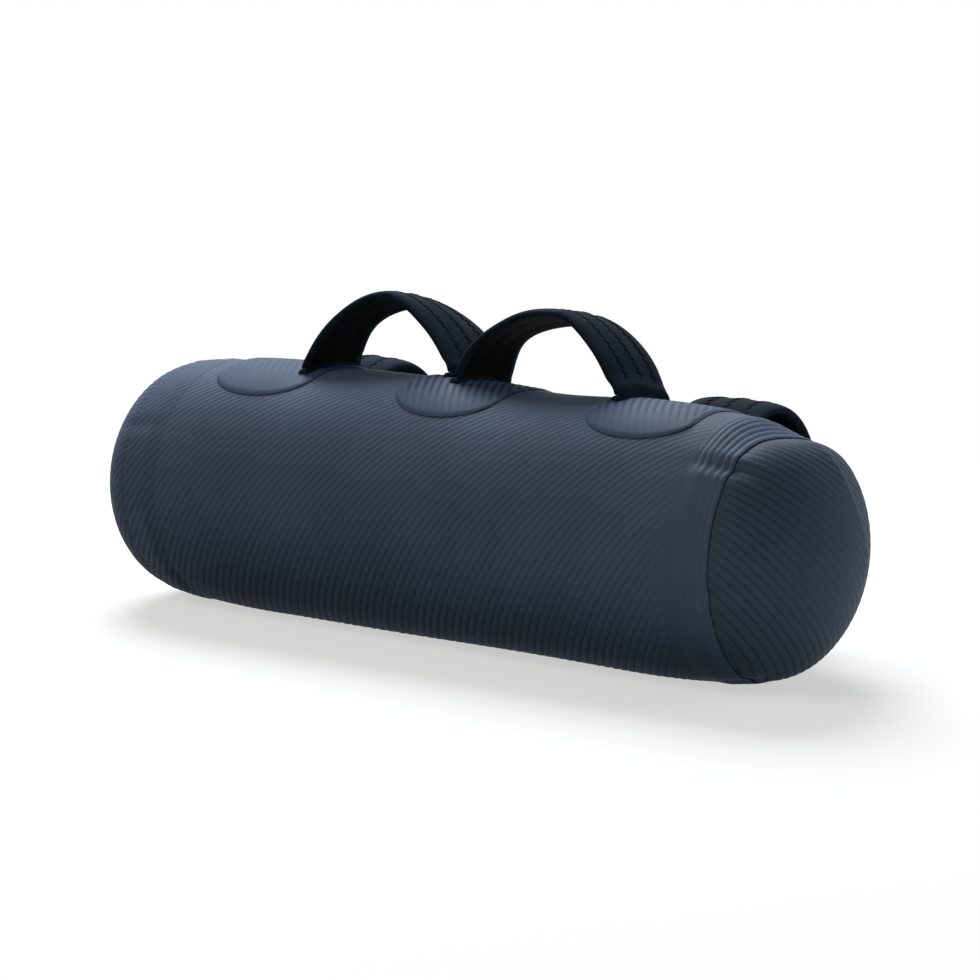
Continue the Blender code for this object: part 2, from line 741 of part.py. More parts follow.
def build_valve_cap(frame, look):
    low = valve_heights()[4]
    high = low + CAP_GRIP_THICKNESS
    profile = [
        (0.0, low - CAP_PLUG_REACH),
        (CAP_PLUG_RADIUS, low - CAP_PLUG_REACH),
        (CAP_PLUG_RADIUS, low),
        (CAP_GRIP_RADIUS, low),
        (CAP_GRIP_RADIUS, high - CAP_EDGE),
        (CAP_GRIP_RADIUS - CAP_EDGE, high),
        (0.0, high),
    ]
    cap = turned("valve_cap", profile, look, frame, segments=CAP_SEGMENTS)
    circle = CAP_GRIP_RADIUS + CAP_FLUTE_OFFSET
    flutes = rod_group(
        "cap_flutes",
        CAP_FLUTES,
        circle,
        CAP_FLUTE_RADIUS,
        low - CAP_EDGE,
        high + CAP_EDGE,
        look,
        frame,
    )
    combine(cap, flutes, "DIFFERENCE")


def build_tether(frame, look):
    """A flexible loop: a ring round the cap's neck, a folded strip and a ring under the flange."""
    _, lower, _, upper, _ = valve_heights()
    half = TETHER_THICKNESS / 2
    neck = CAP_PLUG_RADIUS + BARREL_CLEARANCE
    made = build_ring(
        "valve_tether", neck, TETHER_RADIUS, upper, upper + TETHER_THICKNESS, look, frame
    )
    clamp = build_ring(
        "tether_clamp_ring",
        BARREL_RADIUS + BARREL_CLEARANCE,
        FLANGE_RADIUS,
        lower,
        lower + TETHER_THICKNESS,
        look,
        frame,
    )
    bend_centre = (lower + upper) / 2 + half
    bend = (upper - lower) / 2
    start = (TETHER_RADIUS + neck) / 2
    line = [(start, upper + half, 0.0)]
    for turn in np.linspace(math.pi / 2, -math.pi / 2, TETHER_BEND_POINTS):
        line.append((TETHER_REACH + bend * math.cos(turn), bend_centre + bend * math.sin(turn), turn))
    line.append(((FLANGE_RADIUS + BARREL_RADIUS) / 2, lower + half, 0.0))
    rings = []
    for index, (reach, height, turn) in enumerate(line):
        bent = 0 < index < len(line) - 1
        out = (math.cos(turn), math.sin(turn)) if bent else (0.0, 1.0 if index == 0 else -1.0)
        ring = []
        for side, layer in ((-1, half), (1, half), (1, -half), (-1, -half)):
            ring.append(
                (reach + out[0] * layer, side * TETHER_WIDTH / 2, height + out[1] * layer)
            )
        rings.append(ring)
    strip = mesh_object("tether_strip", *skin_rings(rings, closed=False), look, parent=frame)
    combine(made, strip, "UNION")
    combine(made, clamp, "UNION")


def build_valve(plastic, seal, steel):
    frame = bpy.data.objects.new("valve_frame", None)
    frame.location = (-seat_distance(SEAT_RADIUS), 0.0, AXIS_HEIGHT)
    frame.rotation_euler = Matrix(((0, 0, -1), (0, -1, 0), (-1, 0, 0))).to_euler()
    bpy.context.scene.collection.objects.link(frame)
    gasket = valve_heights()[0]
    bore = BARREL_RADIUS + BARREL_CLEARANCE
    build_valve_base(frame, plastic("valve base plastic"))
    build_ring(
        "valve_gasket", bore, FLANGE_RADIUS, gasket, gasket + GASKET_THICKNESS, seal("gasket rubber"), frame
    )
    nut_top = -WALL - LAYER_GAP
    build_ring(
        "valve_nut",
        bore,
        NUT_RADIUS,
        nut_top - NUT_THICKNESS,
        nut_top,
        plastic("valve nut plastic"),
        frame,
        nut_shape,
    )
    build_plunger(frame, plastic("valve stem plastic"), seal("poppet rubber"))
    build_spring(frame, steel)
    build_valve_cap(frame, plastic("valve cap plastic"))
    build_tether(frame, seal("tether rubber"))


def foot_place(patch_x, foot):
    offset, angle = foot
    return patch_x + offset, angle


def build_handles():
    left_feet = (
        foot_place(-END_PATCH_X, LEFT_TOP_OUTER_FOOT),
        foot_place(MIDDLE_PATCH_X, LEFT_TOP_INNER_FOOT),
    )
    right_feet = (
        foot_place(MIDDLE_PATCH_X, RIGHT_TOP_INNER_FOOT),
        foot_place(END_PATCH_X, RIGHT_TOP_OUTER_FOOT),
    )
    top_left = Strap(
        left_feet,
        LEFT_TOP_HEIGHT,
        (LEFT_TOP_OUTER_POWER, LEFT_TOP_INNER_POWER),
        across_bag=True,
        toes=(LEFT_TOP_OUTER_TOE, LEFT_TOP_INNER_TOE),
        nod=LEFT_TOP_NOD,
        lean=LEFT_TOP_LEAN,
    )
    top_right = Strap(
        right_feet,
        RIGHT_TOP_HEIGHT,
        (RIGHT_TOP_INNER_POWER, RIGHT_TOP_OUTER_POWER),
        across_bag=True,
        toes=(RIGHT_TOP_INNER_TOE, RIGHT_TOP_OUTER_TOE),
        nod=RIGHT_TOP_NOD,
        lean=RIGHT_TOP_LEAN,
    )
    ends = []
    end_powers = (END_HANDLE_POWER, END_HANDLE_POWER)
    for x, angle in ((-END_PATCH_X, LEFT_END_ANGLE), (END_PATCH_X, RIGHT_END_ANGLE)):
        feet = ((x, angle - END_HANDLE_HALF_SPAN), (x, angle + END_HANDLE_HALF_SPAN))
        ends.append(Strap(feet, END_HANDLE_HEIGHT, end_powers, across_bag=False))
    handles = (
        ("left_top_handle", top_left, ("left", "right")),
        ("right_top_handle", top_right, ("left", "right")),
        ("left_end_handle", ends[0], ("upper", "lower")),
        ("right_end_handle", ends[1], ("upper", "lower")),
    )
    for name, strap, foot_names in handles:
        grip = material(f"{name} grip foam", GRIP_FOAM, 0.75)
        webbing = material(f"{name} webbing", WEBBING_BLACK, 0.80)
        build_handle(name, strap, foot_names, grip, webbing)


def main():
    clear_scene()
    build_barrel(material("barrel fabric", FABRIC, 0.55))
    build_left_cap(material("left cap fabric", CAP_FABRIC, 0.55))
    build_right_cap(material("right cap fabric", CAP_FABRIC, 0.55))
    build_band("left_end_band", -1, material("left band fabric", PATCH_FABRIC, 0.50))
    build_band("right_end_band", 1, material("right band fabric", PATCH_FABRIC, 0.50))
    build_water(material("water", WATER_BLUE, 0.05))
    patches = (
        ("left_patch", -END_PATCH_X, END_PATCH_BACK_ANGLE),
        ("middle_patch", MIDDLE_PATCH_X, MIDDLE_PATCH_BACK_ANGLE),
        ("right_patch", END_PATCH_X, END_PATCH_BACK_ANGLE),
    )
    for name, centre, back_angle in patches:
        build_patch(name, centre, back_angle, material(f"{name} fabric", PATCH_FABRIC, 0.50))
    build_handles()
    build_valve(
        lambda name: material(name, VALVE_PLASTIC, 0.35),
        lambda name: material(name, SEAL_RUBBER, 0.60),
        material("spring steel", SPRING_STEEL, 0.30, 1.0),
    )


if __name__ == "__main__":
    main()
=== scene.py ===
"""Aqua training bag: ribbed coated fabric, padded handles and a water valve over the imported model.

Metres, +Z up. The origin is the middle of the flat that the filled bag rests on, +X runs to the
right-hand end and +Y is the side that carries the two end handles. Angles round the bag are
measured behind its top line.
"""

import functools
import math

import bpy
import numpy as np
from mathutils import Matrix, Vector


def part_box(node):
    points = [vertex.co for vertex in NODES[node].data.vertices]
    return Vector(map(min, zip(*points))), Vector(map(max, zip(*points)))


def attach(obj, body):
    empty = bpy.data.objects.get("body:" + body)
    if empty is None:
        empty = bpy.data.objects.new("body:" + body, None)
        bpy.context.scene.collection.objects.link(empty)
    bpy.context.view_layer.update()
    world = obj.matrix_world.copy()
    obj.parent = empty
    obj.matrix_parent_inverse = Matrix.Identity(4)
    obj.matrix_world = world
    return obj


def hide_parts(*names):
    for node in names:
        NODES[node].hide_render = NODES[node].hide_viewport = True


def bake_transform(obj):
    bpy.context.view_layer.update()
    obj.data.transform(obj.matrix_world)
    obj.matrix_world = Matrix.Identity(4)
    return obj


bl_info = {
    "name": "Aqua training bag",
    "version": (1, 0, 0),
    "blender": (4, 5, 0),
    "location": "View3D > Sidebar > Training bag",
    "description": "Builds the fabric, handles, valve and studio of an aqua training bag",
    "category": "Add Mesh",
}

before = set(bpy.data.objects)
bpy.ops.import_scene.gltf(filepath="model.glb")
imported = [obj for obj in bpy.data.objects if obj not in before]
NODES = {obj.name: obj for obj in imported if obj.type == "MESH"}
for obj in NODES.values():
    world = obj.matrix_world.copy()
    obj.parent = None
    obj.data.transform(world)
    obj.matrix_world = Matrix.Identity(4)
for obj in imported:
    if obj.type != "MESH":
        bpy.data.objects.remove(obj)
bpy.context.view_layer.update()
RIB_MAP = "Ribs"
STRENGTH_MAP = "Strength"
FULL_TURN = 2 * math.pi
# Columns and rows of the grids that the soft pieces are made of.
WALL_COLUMNS, ROWS_PER_RIB = 78, 6
BAND_COLUMNS, BAND_ROWS = 42, {-1: 480, 1: 320}
PATCH_COLUMNS, PATCH_ROW = 96, 0.0027
CAP_GRID, SLEEVE_GRID, STRAP_GRID, HEM_ROWS = (288, 116), (84, 120), (16, 100), 64
# Points closer together than this are one point, in metres.
MERGE_GAP = 1e-6
# How broad a rib's crest is beside its groove: less is broader.
CREST_POWER = 0.62


def number(name, description, default, **options):
    return bpy.props.FloatProperty(name=name, description=description, default=default, **options)


def count(name, description, default):
    return bpy.props.IntProperty(
        name=name, description=description, default=default, min=1, max=200
    )


def length(name, description, default, low=0.0):
    options = {"min": low, "unit": "LENGTH", "subtype": "DISTANCE", "precision": 5}
    return number(name, description, default, **options)


def bearing(name, description, degrees):
    return number(name, description, math.radians(degrees), unit="ROTATION", subtype="ANGLE")


def tint(name, description, default):
    options = {"min": 0.0, "max": 1.0, "size": 3, "subtype": "COLOR"}
    return bpy.props.FloatVectorProperty(
        name=name, description=description, default=default, **options
    )


def share(name, description, default):
    return number(name, description, default, min=0.0, max=1.0, subtype="FACTOR")


class BagSizes(bpy.types.PropertyGroup):
    """The bag itself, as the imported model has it."""

    radius: length("Radius", "Outer radius of the filled tube", 0.105)
    shoulder_drop: length("Shoulder drop", "How much less the seam's radius is", 0.0076)
    seam_half_length: length("Seam half length", "From the middle to a seam", 0.2855)
    shoulder_length: length("Shoulder length", "Length over which the wall draws in", 0.106)
    dome_depth: length("Dome depth", "How far an end stands past its seam", 0.0606)
    dome_power: number("Dome power", "How full an end is", 1.88, min=1.0, max=4.0)
    rest_half_width: length("Rest half width", "Half the width of the resting flat", 0.027)
    wall: length("Wall", "Thickness of the coated fabric", 0.0012)
    layer_gap: length("Layer gap", "Gap between two layers of fabric", 0.0003)
    cap_skirt: length("Cap skirt", "How far an end cap reaches inside the tube", 0.018)
    band_width: length("Band width", "Width of the tape over a seam", 0.035)
    band_thickness: length("Band thickness", "Thickness of that tape", 0.0014)
    patch_lift: length("Patch lift", "Gap under a reinforcement patch", 0.0005)
    patch_thickness: length("Patch thickness", "Thickness of a patch", 0.0012)
    patch_half_width: length("Patch half width", "Half a patch's width along the bag", 0.0485)
    patch_tip: bearing("Patch tip", "Depth of a patch's rounded tip", 16.0)
    patch_front: bearing("Patch front", "Where the patches start", -35.0)
    end_patch_inset: length("End patch inset", "From a seam to an end patch's middle", 0.1005)
    end_patch_back: bearing("End patch back", "Where an end patch stops", 130.0)
    middle_patch_x: length("Middle patch place", "Middle patch along the bag", 0.002, -1.0)
    middle_patch_back: bearing("Middle patch back", "Where the middle patch stops", 57.0)


class FabricForm(bpy.types.PropertyGroup):
    """The relief of the fabric: its ribs, puckers and slack."""

    wall_ribs: count("Wall ribs", "Ribs round the tube", 82)
    rib_twist: number("Rib twist", "Ribs passed per metre along the bag", 139.5)
    rib_drift: number("Rib drift", "How the ribs' pitch changes round the bag", 4.3)
    rib_turn: bearing("Rib turn", "Where the ribs lie closest", 30.0)
    rib_height: length("Rib height", "Height of a rib over its groove", 0.00025)
    cap_rib_pitch: length("Cap rib pitch", "From rib to rib over an end", 0.00636)
    cap_rib_height: length("Cap rib height", "Height of an end's ribs", 0.00036)
    cap_rib_bearing: bearing("Cap rib bearing", "Slope of an end's ribs", 46.4)
    right_rib_lean: share("Right rib lean", "Shift of the right end's ribs with its rise", 0.30)
    left_rib_lean: share("Left rib lean", "The same of the left end", 0.60)
    band_ribs: count("Band ribs", "Ribs across a band", 7)
    band_rib_height: length("Band rib height", "Height of a band's ribs", 0.00070)
    patch_rib_pitch: length("Patch rib pitch", "From rib to rib on a patch", 0.00725)
    patch_rib_slant: number("Patch rib slant", "Ribs passed per radian round the bag", 7.7)
    patch_rib_height: length("Patch rib height", "Height of a patch's ribs", 0.00034)
    pucker_depth: length("Pucker depth", "Depth of the puckers at a seam", 0.0022)
    seam_sink: length("Seam sink", "How far the right seam's top edge is drawn in", 0.0095)
    sink_run: length("Sink run", "Run of the wall that is drawn in with it", 0.032)
    slack: length("Slack", "Unevenness of the filled wall", 0.0007)


class HandleSizes(bpy.types.PropertyGroup):
    """The padded handles, their straps and their feet."""

    upright: length("Upright", "Height over which a limb rises straight up", 0.0038)
    settle: length("Settle", "Height by which a limb has its full lean", 0.0152)
    conform: length("Conform", "Run over which a strap leaves the bag's form", 0.040)
    half_width: length("Sleeve half width", "Half the padded sleeve's width", 0.038)
    half_thickness: length("Sleeve half thickness", "Half its thickness", 0.0035)
    crown: length("Crown", "How far the sleeve's edges droop", 0.0022)
    sleeve_start: length("Sleeve start", "From the patch to the sleeve's end", 0.0028)
    sleeve_skin: length("Sleeve skin", "Foam and cover round the strap", 0.0019)
    webbing_half_width: length("Webbing half width", "Half the strap's width", 0.025)
    webbing_half_thickness: length("Webbing half thickness", "Half its thickness", 0.0010)
    foot_half_length: length("Foot half length", "Half a hemmed foot's length", 0.0385)
    stitch_row: length("Stitch row", "From the middle row of stitches to the next", 0.0195)
    stitch_pitch: length("Stitch pitch", "Run of one zigzag", 0.0066)
    stitch_swing: length("Stitch swing", "Half a zigzag's width", 0.0025)
    thread_radius: length("Thread radius", "Radius of the sewing thread", 0.00080)
    end_half_span: bearing("End handle half span", "Half an end handle's reach", 33.0)
    left_end_angle: bearing("Left end handle", "Middle of the left end handle", 73.0)
    right_end_angle: bearing("Right end handle", "Middle of the right end handle", 75.0)


class ValveSizes(bpy.types.PropertyGroup):
    """The water valve in the middle of the left end."""

    seat_radius: length("Seat radius", "Radius of the flat that the valve sits on", 0.0270)
    hole_radius: length("Hole radius", "Radius of the hole in the fabric", 0.0176)
    spring_wire: length("Spring wire", "Radius of the spring's wire", 0.00025)
    spring_coils: count("Spring coils", "Turns of the spring", 4)


class BagColours(bpy.types.PropertyGroup):
    """Colours of the bag's finishes."""

    fabric: tint("Fabric", "Slate blue coated fabric", (0.072, 0.100, 0.157))
    # The patches are the wall's fabric, painted darker as the shade of the handles over them.
    patch: tint("Patch", "Fabric of the patches", (0.053, 0.081, 0.140))
    # The right end is the wall's fabric, painted darker as the shade on that end.
    cap: tint("Cap", "Fabric of the right end", (0.048, 0.068, 0.102))
    sleeve: tint("Sleeve", "Knitted cover of the handles", (0.0130, 0.0200, 0.0330))
    thread: tint("Thread", "Sewing thread", (0.0035, 0.0045, 0.0065))
    webbing: tint("Webbing", "Woven strap", (0.013, 0.015, 0.019))
    valve: tint("Valve", "Moulded plastic of the valve", (0.030, 0.032, 0.036))
    rubber: tint("Rubber", "Seals and tether", (0.020, 0.020, 0.021))
    steel: tint("Steel", "Valve spring", (0.56, 0.57, 0.58))
    water: tint("Water", "Water charge", (0.35, 0.55, 0.65))


class StudioSettings(bpy.types.PropertyGroup):
    """Camera, lamps and floor."""

    camera_bearing: bearing("Camera bearing", "Camera's angle to the right of the front", 36.62)
    camera_rise: bearing("Camera rise", "Camera's angle over the floor", 10.55)
    camera_distance: length("Camera distance", "From the bag's middle to the camera", 2.822)
    focal_pixels: number("Focal length", "Focal length in pixels", 3524.0)
    key_power: number("Key power", "Power of the overhead lamp in watts", 121.0)
    front_power: number("Front power", "Power of the front left lamp in watts", 24.0)
    side_power: number("Side power", "Power of the lamp behind the right end", 12.5)
    ambient: share("Ambient", "Level of the surrounding light", 0.14)
    floor_tone: share("Floor tone", "Grey that the floor throws back", 0.07)


SETTING_GROUPS = {
    "bag_sizes": BagSizes,
    "bag_fabric": FabricForm,
    "bag_handles": HandleSizes,
    "bag_colours": BagColours,
    "bag_studio": StudioSettings,
    "bag_valve": ValveSizes,
}


def smooth(value, low, high):
    """A soft step from 0 below low to 1 above high."""
    part = np.clip((value - low) / (high - low), 0.0, 1.0)
    return part * part * (3 - 2 * part)


def bump(value, middle, width):
    """A soft hill of height 1 about a middle."""
    return np.exp(-(((value - middle) / width) ** 2))


def rib_profile(phase):
    """0 on a rib's crest and -1 in the groove, where the phase is a whole number."""
    return (0.5 - 0.5 * np.cos(FULL_TURN * phase)) ** CREST_POWER - 1


def dome_rise(radius, rim, depth, power):
    return depth * np.maximum(1 - (radius / rim) ** power, 0.0) ** (1 / power)


# Puckers of the left and right seams: degrees behind the top line, and strength.
PUCKERS = {
    -1: ((-57, 0.40), (4, 0.6), (63, 1.0), (124, 1.0), (-175, 0.8), (-128, 0.20)),
    1: ((-41, 1.0), (-100, 0.55), (-158, 0.5), (50, 1.0), (104, 1.0), (152, 0.8)),
}


# A pucker's parts, in metres: widths round the bag, places and runs from the seam. The shares are
# of the pucker's depth.
VALLEY_WIDTH, VALLEY_PLACE, VALLEY_RUN = 0.0052, 0.003, 0.026
RIDGE_PLACE, RIDGE_WIDTH, RIDGE_RUN, RIDGE_SHARE = 0.0115, 0.0060, 0.038, 0.5
CRIMP_PITCH, CRIMP_WIDTH, CRIMP_PLACE, CRIMP_RUN = 0.0064, 0.0095, 0.014, 0.012
CRIMP_SHARES = {-1: 0.10, 1: 0.30}
TUCK_RUN, TUCK_SHARE = 0.030, 0.6
# The middle and half spread of the right seam's drawn-in edge, round the bag, and how far past the
# seam it is drawn in fully.
SINK_MIDDLE, SINK_SPREAD, SINK_PAST = math.radians(4.5), math.radians(45.5), 0.004
# Waves of the slack wall: height, waves round the bag, their turn for each metre along it, start.
SLACK_WAVES = ((1.0, 3, 9, 1.1), (0.6, 5, -23, 2.0))
# Broad hollows and swellings of the filled wall: height, place and run along the bag in metres,
# then middle and spread round the bag in radians.
SWELLS = ((-0.0042, 0.072, 0.050, 0.05, 0.42), (0.0022, -0.262, 0.045, -0.75, 0.5))
# Beyond this bearing the wall lies on the water, and sinks no further than this.
WATER_BEARING, WATER_LIMIT = 1.3, 0.0026
# Metres along a rib for each metre along the bag.
RIB_STRETCH = 1.45
# How much of their full height the patches' ribs have, and of the shade painted into their grooves.
PATCH_RIB_SHARES = {"left_patch": 0.22, "middle_patch": 1.0, "right_patch": 0.62}


class BagShape:
    """The bag's outer surface, worked out from the sizes in the panel."""

    def __init__(self):
        self.sizes = sizes = bpy.context.scene.bag_sizes
        self.form = bpy.context.scene.bag_fabric
        self.half = sizes.seam_half_length
        self.seam_radius = sizes.radius - sizes.shoulder_drop
        self.axis = sizes.radius * math.cos(math.asin(sizes.rest_half_width / sizes.radius))
        self.end_patch_x = self.half - sizes.end_patch_inset
        self.patch_height = sizes.patch_lift + sizes.patch_thickness

    def wall_radius(self, x):
        past = np.abs(x) - (self.half - self.sizes.shoulder_length)
        part = np.clip(past / self.sizes.shoulder_length, 0.0, 1.0)
        return self.sizes.radius - self.sizes.shoulder_drop * part**2

    def drawn_in(self, x, angle):
        """How far a seam is drawn in at an angle: the right one most, along its top edge."""
        part = np.clip((wrapped(angle) - SINK_MIDDLE) / SINK_SPREAD, -1.0, 1.0)
        return np.where(x > 0, self.form.seam_sink * np.cos(part * math.pi / 2) ** 2, 0.0)

    def sunk(self, x, angle):
        """How far the fabric beside the right seam is drawn in with it."""
        near = 1 - smooth(self.half - np.abs(x), -SINK_PAST, self.form.sink_run)
        return -self.drawn_in(x, angle) * near

    def pucker(self, side, depth, crimp_share):
        """A valley at a seam, the ridges on both sides of it and the crimps that cross it."""
        valley = bump(side, 0.0, VALLEY_WIDTH) * bump(depth, VALLEY_PLACE, VALLEY_RUN)
        ridges = bump(np.abs(side), RIDGE_PLACE, RIDGE_WIDTH) * bump(depth, 0.0, RIDGE_RUN)
        crimps = np.sin(FULL_TURN * depth / CRIMP_PITCH) * bump(side, 0.0, CRIMP_WIDTH)
        crimps = crimps * bump(depth, CRIMP_PLACE, CRIMP_RUN)
        return RIDGE_SHARE * ridges - valley + crimp_share * crimps

    def swell(self, x, angle):
        """How far the fabric stands out of the plain round form."""
        depth = self.half - np.abs(x)
        total = self.sunk(x, angle)
        for end, puckers in PUCKERS.items():
            here = np.where(np.sign(x) == end, self.form.pucker_depth, 0.0)
            for middle, strength in puckers:
                side = wrapped(angle - math.radians(middle)) * self.seam_radius
                tuck = (1 - bump(side, 0.0, TUCK_RUN)) * bump(depth, 0.0, TUCK_RUN)
                change = self.pucker(side, depth, CRIMP_SHARES[end])
                total += here * strength * (change - TUCK_SHARE * tuck / len(puckers))
        loose = sum(
            height * np.sin(waves * angle + turn * x + start)
            for height, waves, turn, start in SLACK_WAVES
        )
        total = total + self.form.slack * loose
        for height, place, run, middle, spread in SWELLS:
            around_it = bump(wrapped(angle - middle), 0.0, spread)
            total = total + height * bump(x, place, run) * around_it
        on_water = np.abs(wrapped(angle)) > WATER_BEARING
        return np.where(on_water, np.maximum(total, -WATER_LIMIT), total)

    def rib_phase(self, x, angle):
        """Number of the wall's rib at a place."""
        form = self.form
        swing = form.rib_drift * np.sin(angle - form.rib_turn)
        return form.wall_ribs * angle / FULL_TURN + swing - form.rib_twist * x

    def points(self, x, angle, height, floor=0.0):
        """Points over the wall, kept off the floor by the layers that lie under them."""
        reach = self.wall_radius(x) + self.swell(x, angle) + height
        level = np.maximum(self.axis + reach * np.cos(angle), floor)
        return np.stack([x + 0 * reach, reach * np.sin(angle), level], -1)


def wrapped(angle):
    """The same bearing, between half a turn backwards and half a turn forwards."""
    return (angle + math.pi) % FULL_TURN - math.pi


def radial(angle):
    return np.stack([0 * angle, np.sin(angle), np.cos(angle)], -1)


def around(angle):
    return np.stack([0 * angle, np.cos(angle), -np.sin(angle)], -1)


def use_only(piece):
    """Selects one piece, and nothing else, for the operators that follow."""
    bpy.ops.object.select_all(action="DESELECT")
    piece.select_set(True)
    bpy.context.view_layer.objects.active = piece


def in_edit_mode(piece, operator, **options):
    """Runs one mesh operator on the whole of a piece."""
    use_only(piece)
    bpy.ops.object.mode_set(mode="EDIT")
    bpy.ops.mesh.select_all(action="SELECT")
    operator(**options)
    bpy.ops.object.mode_set(mode="OBJECT")


def wrapped_grid(name, columns, rows, place, merge=0.0):
    """A grid whose points are moved to place(u, v), which gives them with their rib coordinates."""
    bpy.ops.object.select_all(action="DESELECT")
    bpy.ops.mesh.primitive_grid_add(x_subdivisions=columns, y_subdivisions=rows, size=2.0)
    piece = bpy.context.object
    piece.name = piece.data.name = name
    mesh = piece.data
    flat = np.zeros(len(mesh.vertices) * 3)
    mesh.vertices.foreach_get("co", flat)
    flat = flat.reshape(-1, 3)
    points, ribs = place((flat[:, 0] + 1) / 2, (flat[:, 1] + 1) / 2)
    mesh.vertices.foreach_set("co", points.ravel())
    corners = np.zeros(len(mesh.loops), int)
    mesh.loops.foreach_get("vertex_index", corners)
    layer = mesh.uv_layers.active
    layer.name = RIB_MAP
    layer.data.foreach_set("uv", ribs[corners, :2].ravel())
    if ribs.shape[1] > 2:
        layer = mesh.uv_layers.new(name=STRENGTH_MAP)
        layer.data.foreach_set("uv", ribs[corners, 1:].ravel())
    mesh.update()
    if merge:
        in_edit_mode(piece, bpy.ops.mesh.remove_doubles, threshold=merge)
    return piece


def thicken(piece, thickness):
    """Gives a sheet its thickness, inwards, and smooths all but its cut edges."""
    use_only(piece)
    wall = piece.modifiers.new("thickness", "SOLIDIFY")
    wall.thickness = thickness
    wall.offset = -1.0
    bpy.ops.object.modifier_apply(modifier=wall.name)
    bpy.ops.object.shade_smooth_by_angle(angle=math.radians(50.0))


def wire_piece(name, lines, radius, sides=1):
    """Round wire or thread that runs through each line of points."""
    curve = bpy.data.curves.new(name, "CURVE")
    curve.dimensions = "3D"
    curve.bevel_depth = radius
    curve.bevel_resolution = sides
    curve.use_fill_caps = True
    for points in lines:
        spline = curve.splines.new("POLY")
        spline.points.add(len(points) - 1)
        for spot, point in zip(spline.points, points):
            spot.co = (*point, 1.0)
    piece = bpy.data.objects.new(name, curve)
    bpy.context.scene.collection.objects.link(piece)
    use_only(piece)
    bpy.ops.object.convert(target="MESH")
    piece = bpy.context.object
    bpy.ops.object.shade_smooth()
    return piece


def finish_sheet(piece, thickness, look, node):
    """Thickens a sheet of fabric that lies on the bag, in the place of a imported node."""
    thicken(piece, thickness)
    finish_piece(piece, look, "bag")
    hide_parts(node)


def finish_piece(piece, look, body=None):
    piece.data.materials.clear()
    piece.data.materials.append(look)
    if body:
        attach(piece, body)
    return piece


def maths(operation, turned=False):
    """A method that puts a shader value through one operation, with others if there are any."""

    def result(self, *others):
        values = (*others, self) if turned else (self, *others)
        settings = {"operation": operation}
        return self.surface.node("ShaderNodeMath", settings, dict(enumerate(values)))

    return result


class Socket:
    """A shader value that can stand in a Python expression."""

    def __init__(self, surface, output):
        self.surface = surface
        self.output = output

    __add__ = maths("ADD")
    __radd__ = maths("ADD", turned=True)
    __sub__ = maths("SUBTRACT")
    __rsub__ = maths("SUBTRACT", turned=True)
    __mul__ = maths("MULTIPLY")
    __rmul__ = maths("MULTIPLY", turned=True)
    __truediv__ = maths("DIVIDE")
    __abs__ = maths("ABSOLUTE")
    fraction = maths("FRACT")
    sine = maths("SINE")
    larger = maths("MAXIMUM")

    def between(self, low, high):
        """A soft step from 0 at low to 1 at high."""
        return self.surface.node(
            "ShaderNodeMapRange",
            {"interpolation_type": "SMOOTHSTEP"},
            {"Value": self, "From Min": low, "From Max": high},
        )


class Shading:
    """A tree of shader nodes, which are added one expression at a time."""

    def __init__(self, tree):
        self.tree = tree

    def node(self, kind, settings=None, values=None, output=0):
        made = self.tree.nodes.new(kind)
        for key, value in (settings or {}).items():
            setattr(made, key, value)
        for key, value in (values or {}).items():
            self.feed(made.inputs[key], value)
        return Socket(self, made.outputs[output])

    def feed(self, socket, value):
        if isinstance(value, Socket):
            self.tree.links.new(value.output, socket)
        elif hasattr(socket.default_value, "__len__") and len(socket.default_value) == 4:
            socket.default_value = (*value, 1.0) if len(value) == 3 else value
        else:
            socket.default_value = value

    def blend(self, factor, first, second):
        """Mixes two shaders."""
        return self.node("ShaderNodeMixShader", None, {0: factor, 1: first, 2: second})


class Surface(Shading):
    """A material and its main shader."""

    def __init__(self, name):
        self.material = bpy.data.materials.new(name)
        self.material.use_nodes = True
        super().__init__(self.material.node_tree)
        self.shader = self.tree.nodes["Principled BSDF"]

    def place(self):
        return self.node("ShaderNodeTexCoord", output="Object")

    def part(self, vector, axis):
        return self.node("ShaderNodeSeparateXYZ", None, {0: vector}, output=axis)

    def strength(self):
        """How strongly the ribs show, which the piece stores beside their coordinates."""
        return self.part(self.node("ShaderNodeUVMap", {"uv_map": STRENGTH_MAP}), "Y")

    def ribs(self):
        """The piece's rib coordinates: ribs across, and metres along."""
        both = self.node("ShaderNodeUVMap", {"uv_map": RIB_MAP})
        return self.part(both, "X"), self.part(both, "Y")

    def noise(self, scale, detail=3.0, roughness=0.5):
        values = {"Scale": scale, "Detail": detail, "Roughness": roughness}
        return self.node("ShaderNodeTexNoise", None, {"Vector": self.place(), **values})

    def mix(self, factor, first, second):
        values = {"Factor": factor, 6: first, 7: second}
        return self.node("ShaderNodeMix", {"data_type": "RGBA"}, values, output=2)

    def set(self, **values):
        """Sets the shader's own sockets, with spaces written as underscores."""
        for key, value in values.items():
            self.feed(self.shader.inputs[key.replace("_", " ")], value)

    def relief(self, height, distance):
        values = {"Height": height, "Distance": distance, "Strength": 1.0}
        self.set(Normal=self.node("ShaderNodeBump", None, values))


# Pitches of the weaves, in metres, and where a sleeve's underside, painted dark as shade, starts and
# ends round its girth.
WEAVE_PITCH, YARN_PITCH, CHEVRON = 0.0017, 0.0016, 0.0060
KNIT_PITCH = (0.0011, 0.0013)
UNDERSIDE_SHADE_START, UNDERSIDE_SHADE_END = (0.118, 0.123), (0.181, 0.186)


def scaled(colour, factor):
    return tuple(min(1.0, part * factor) for part in colour)


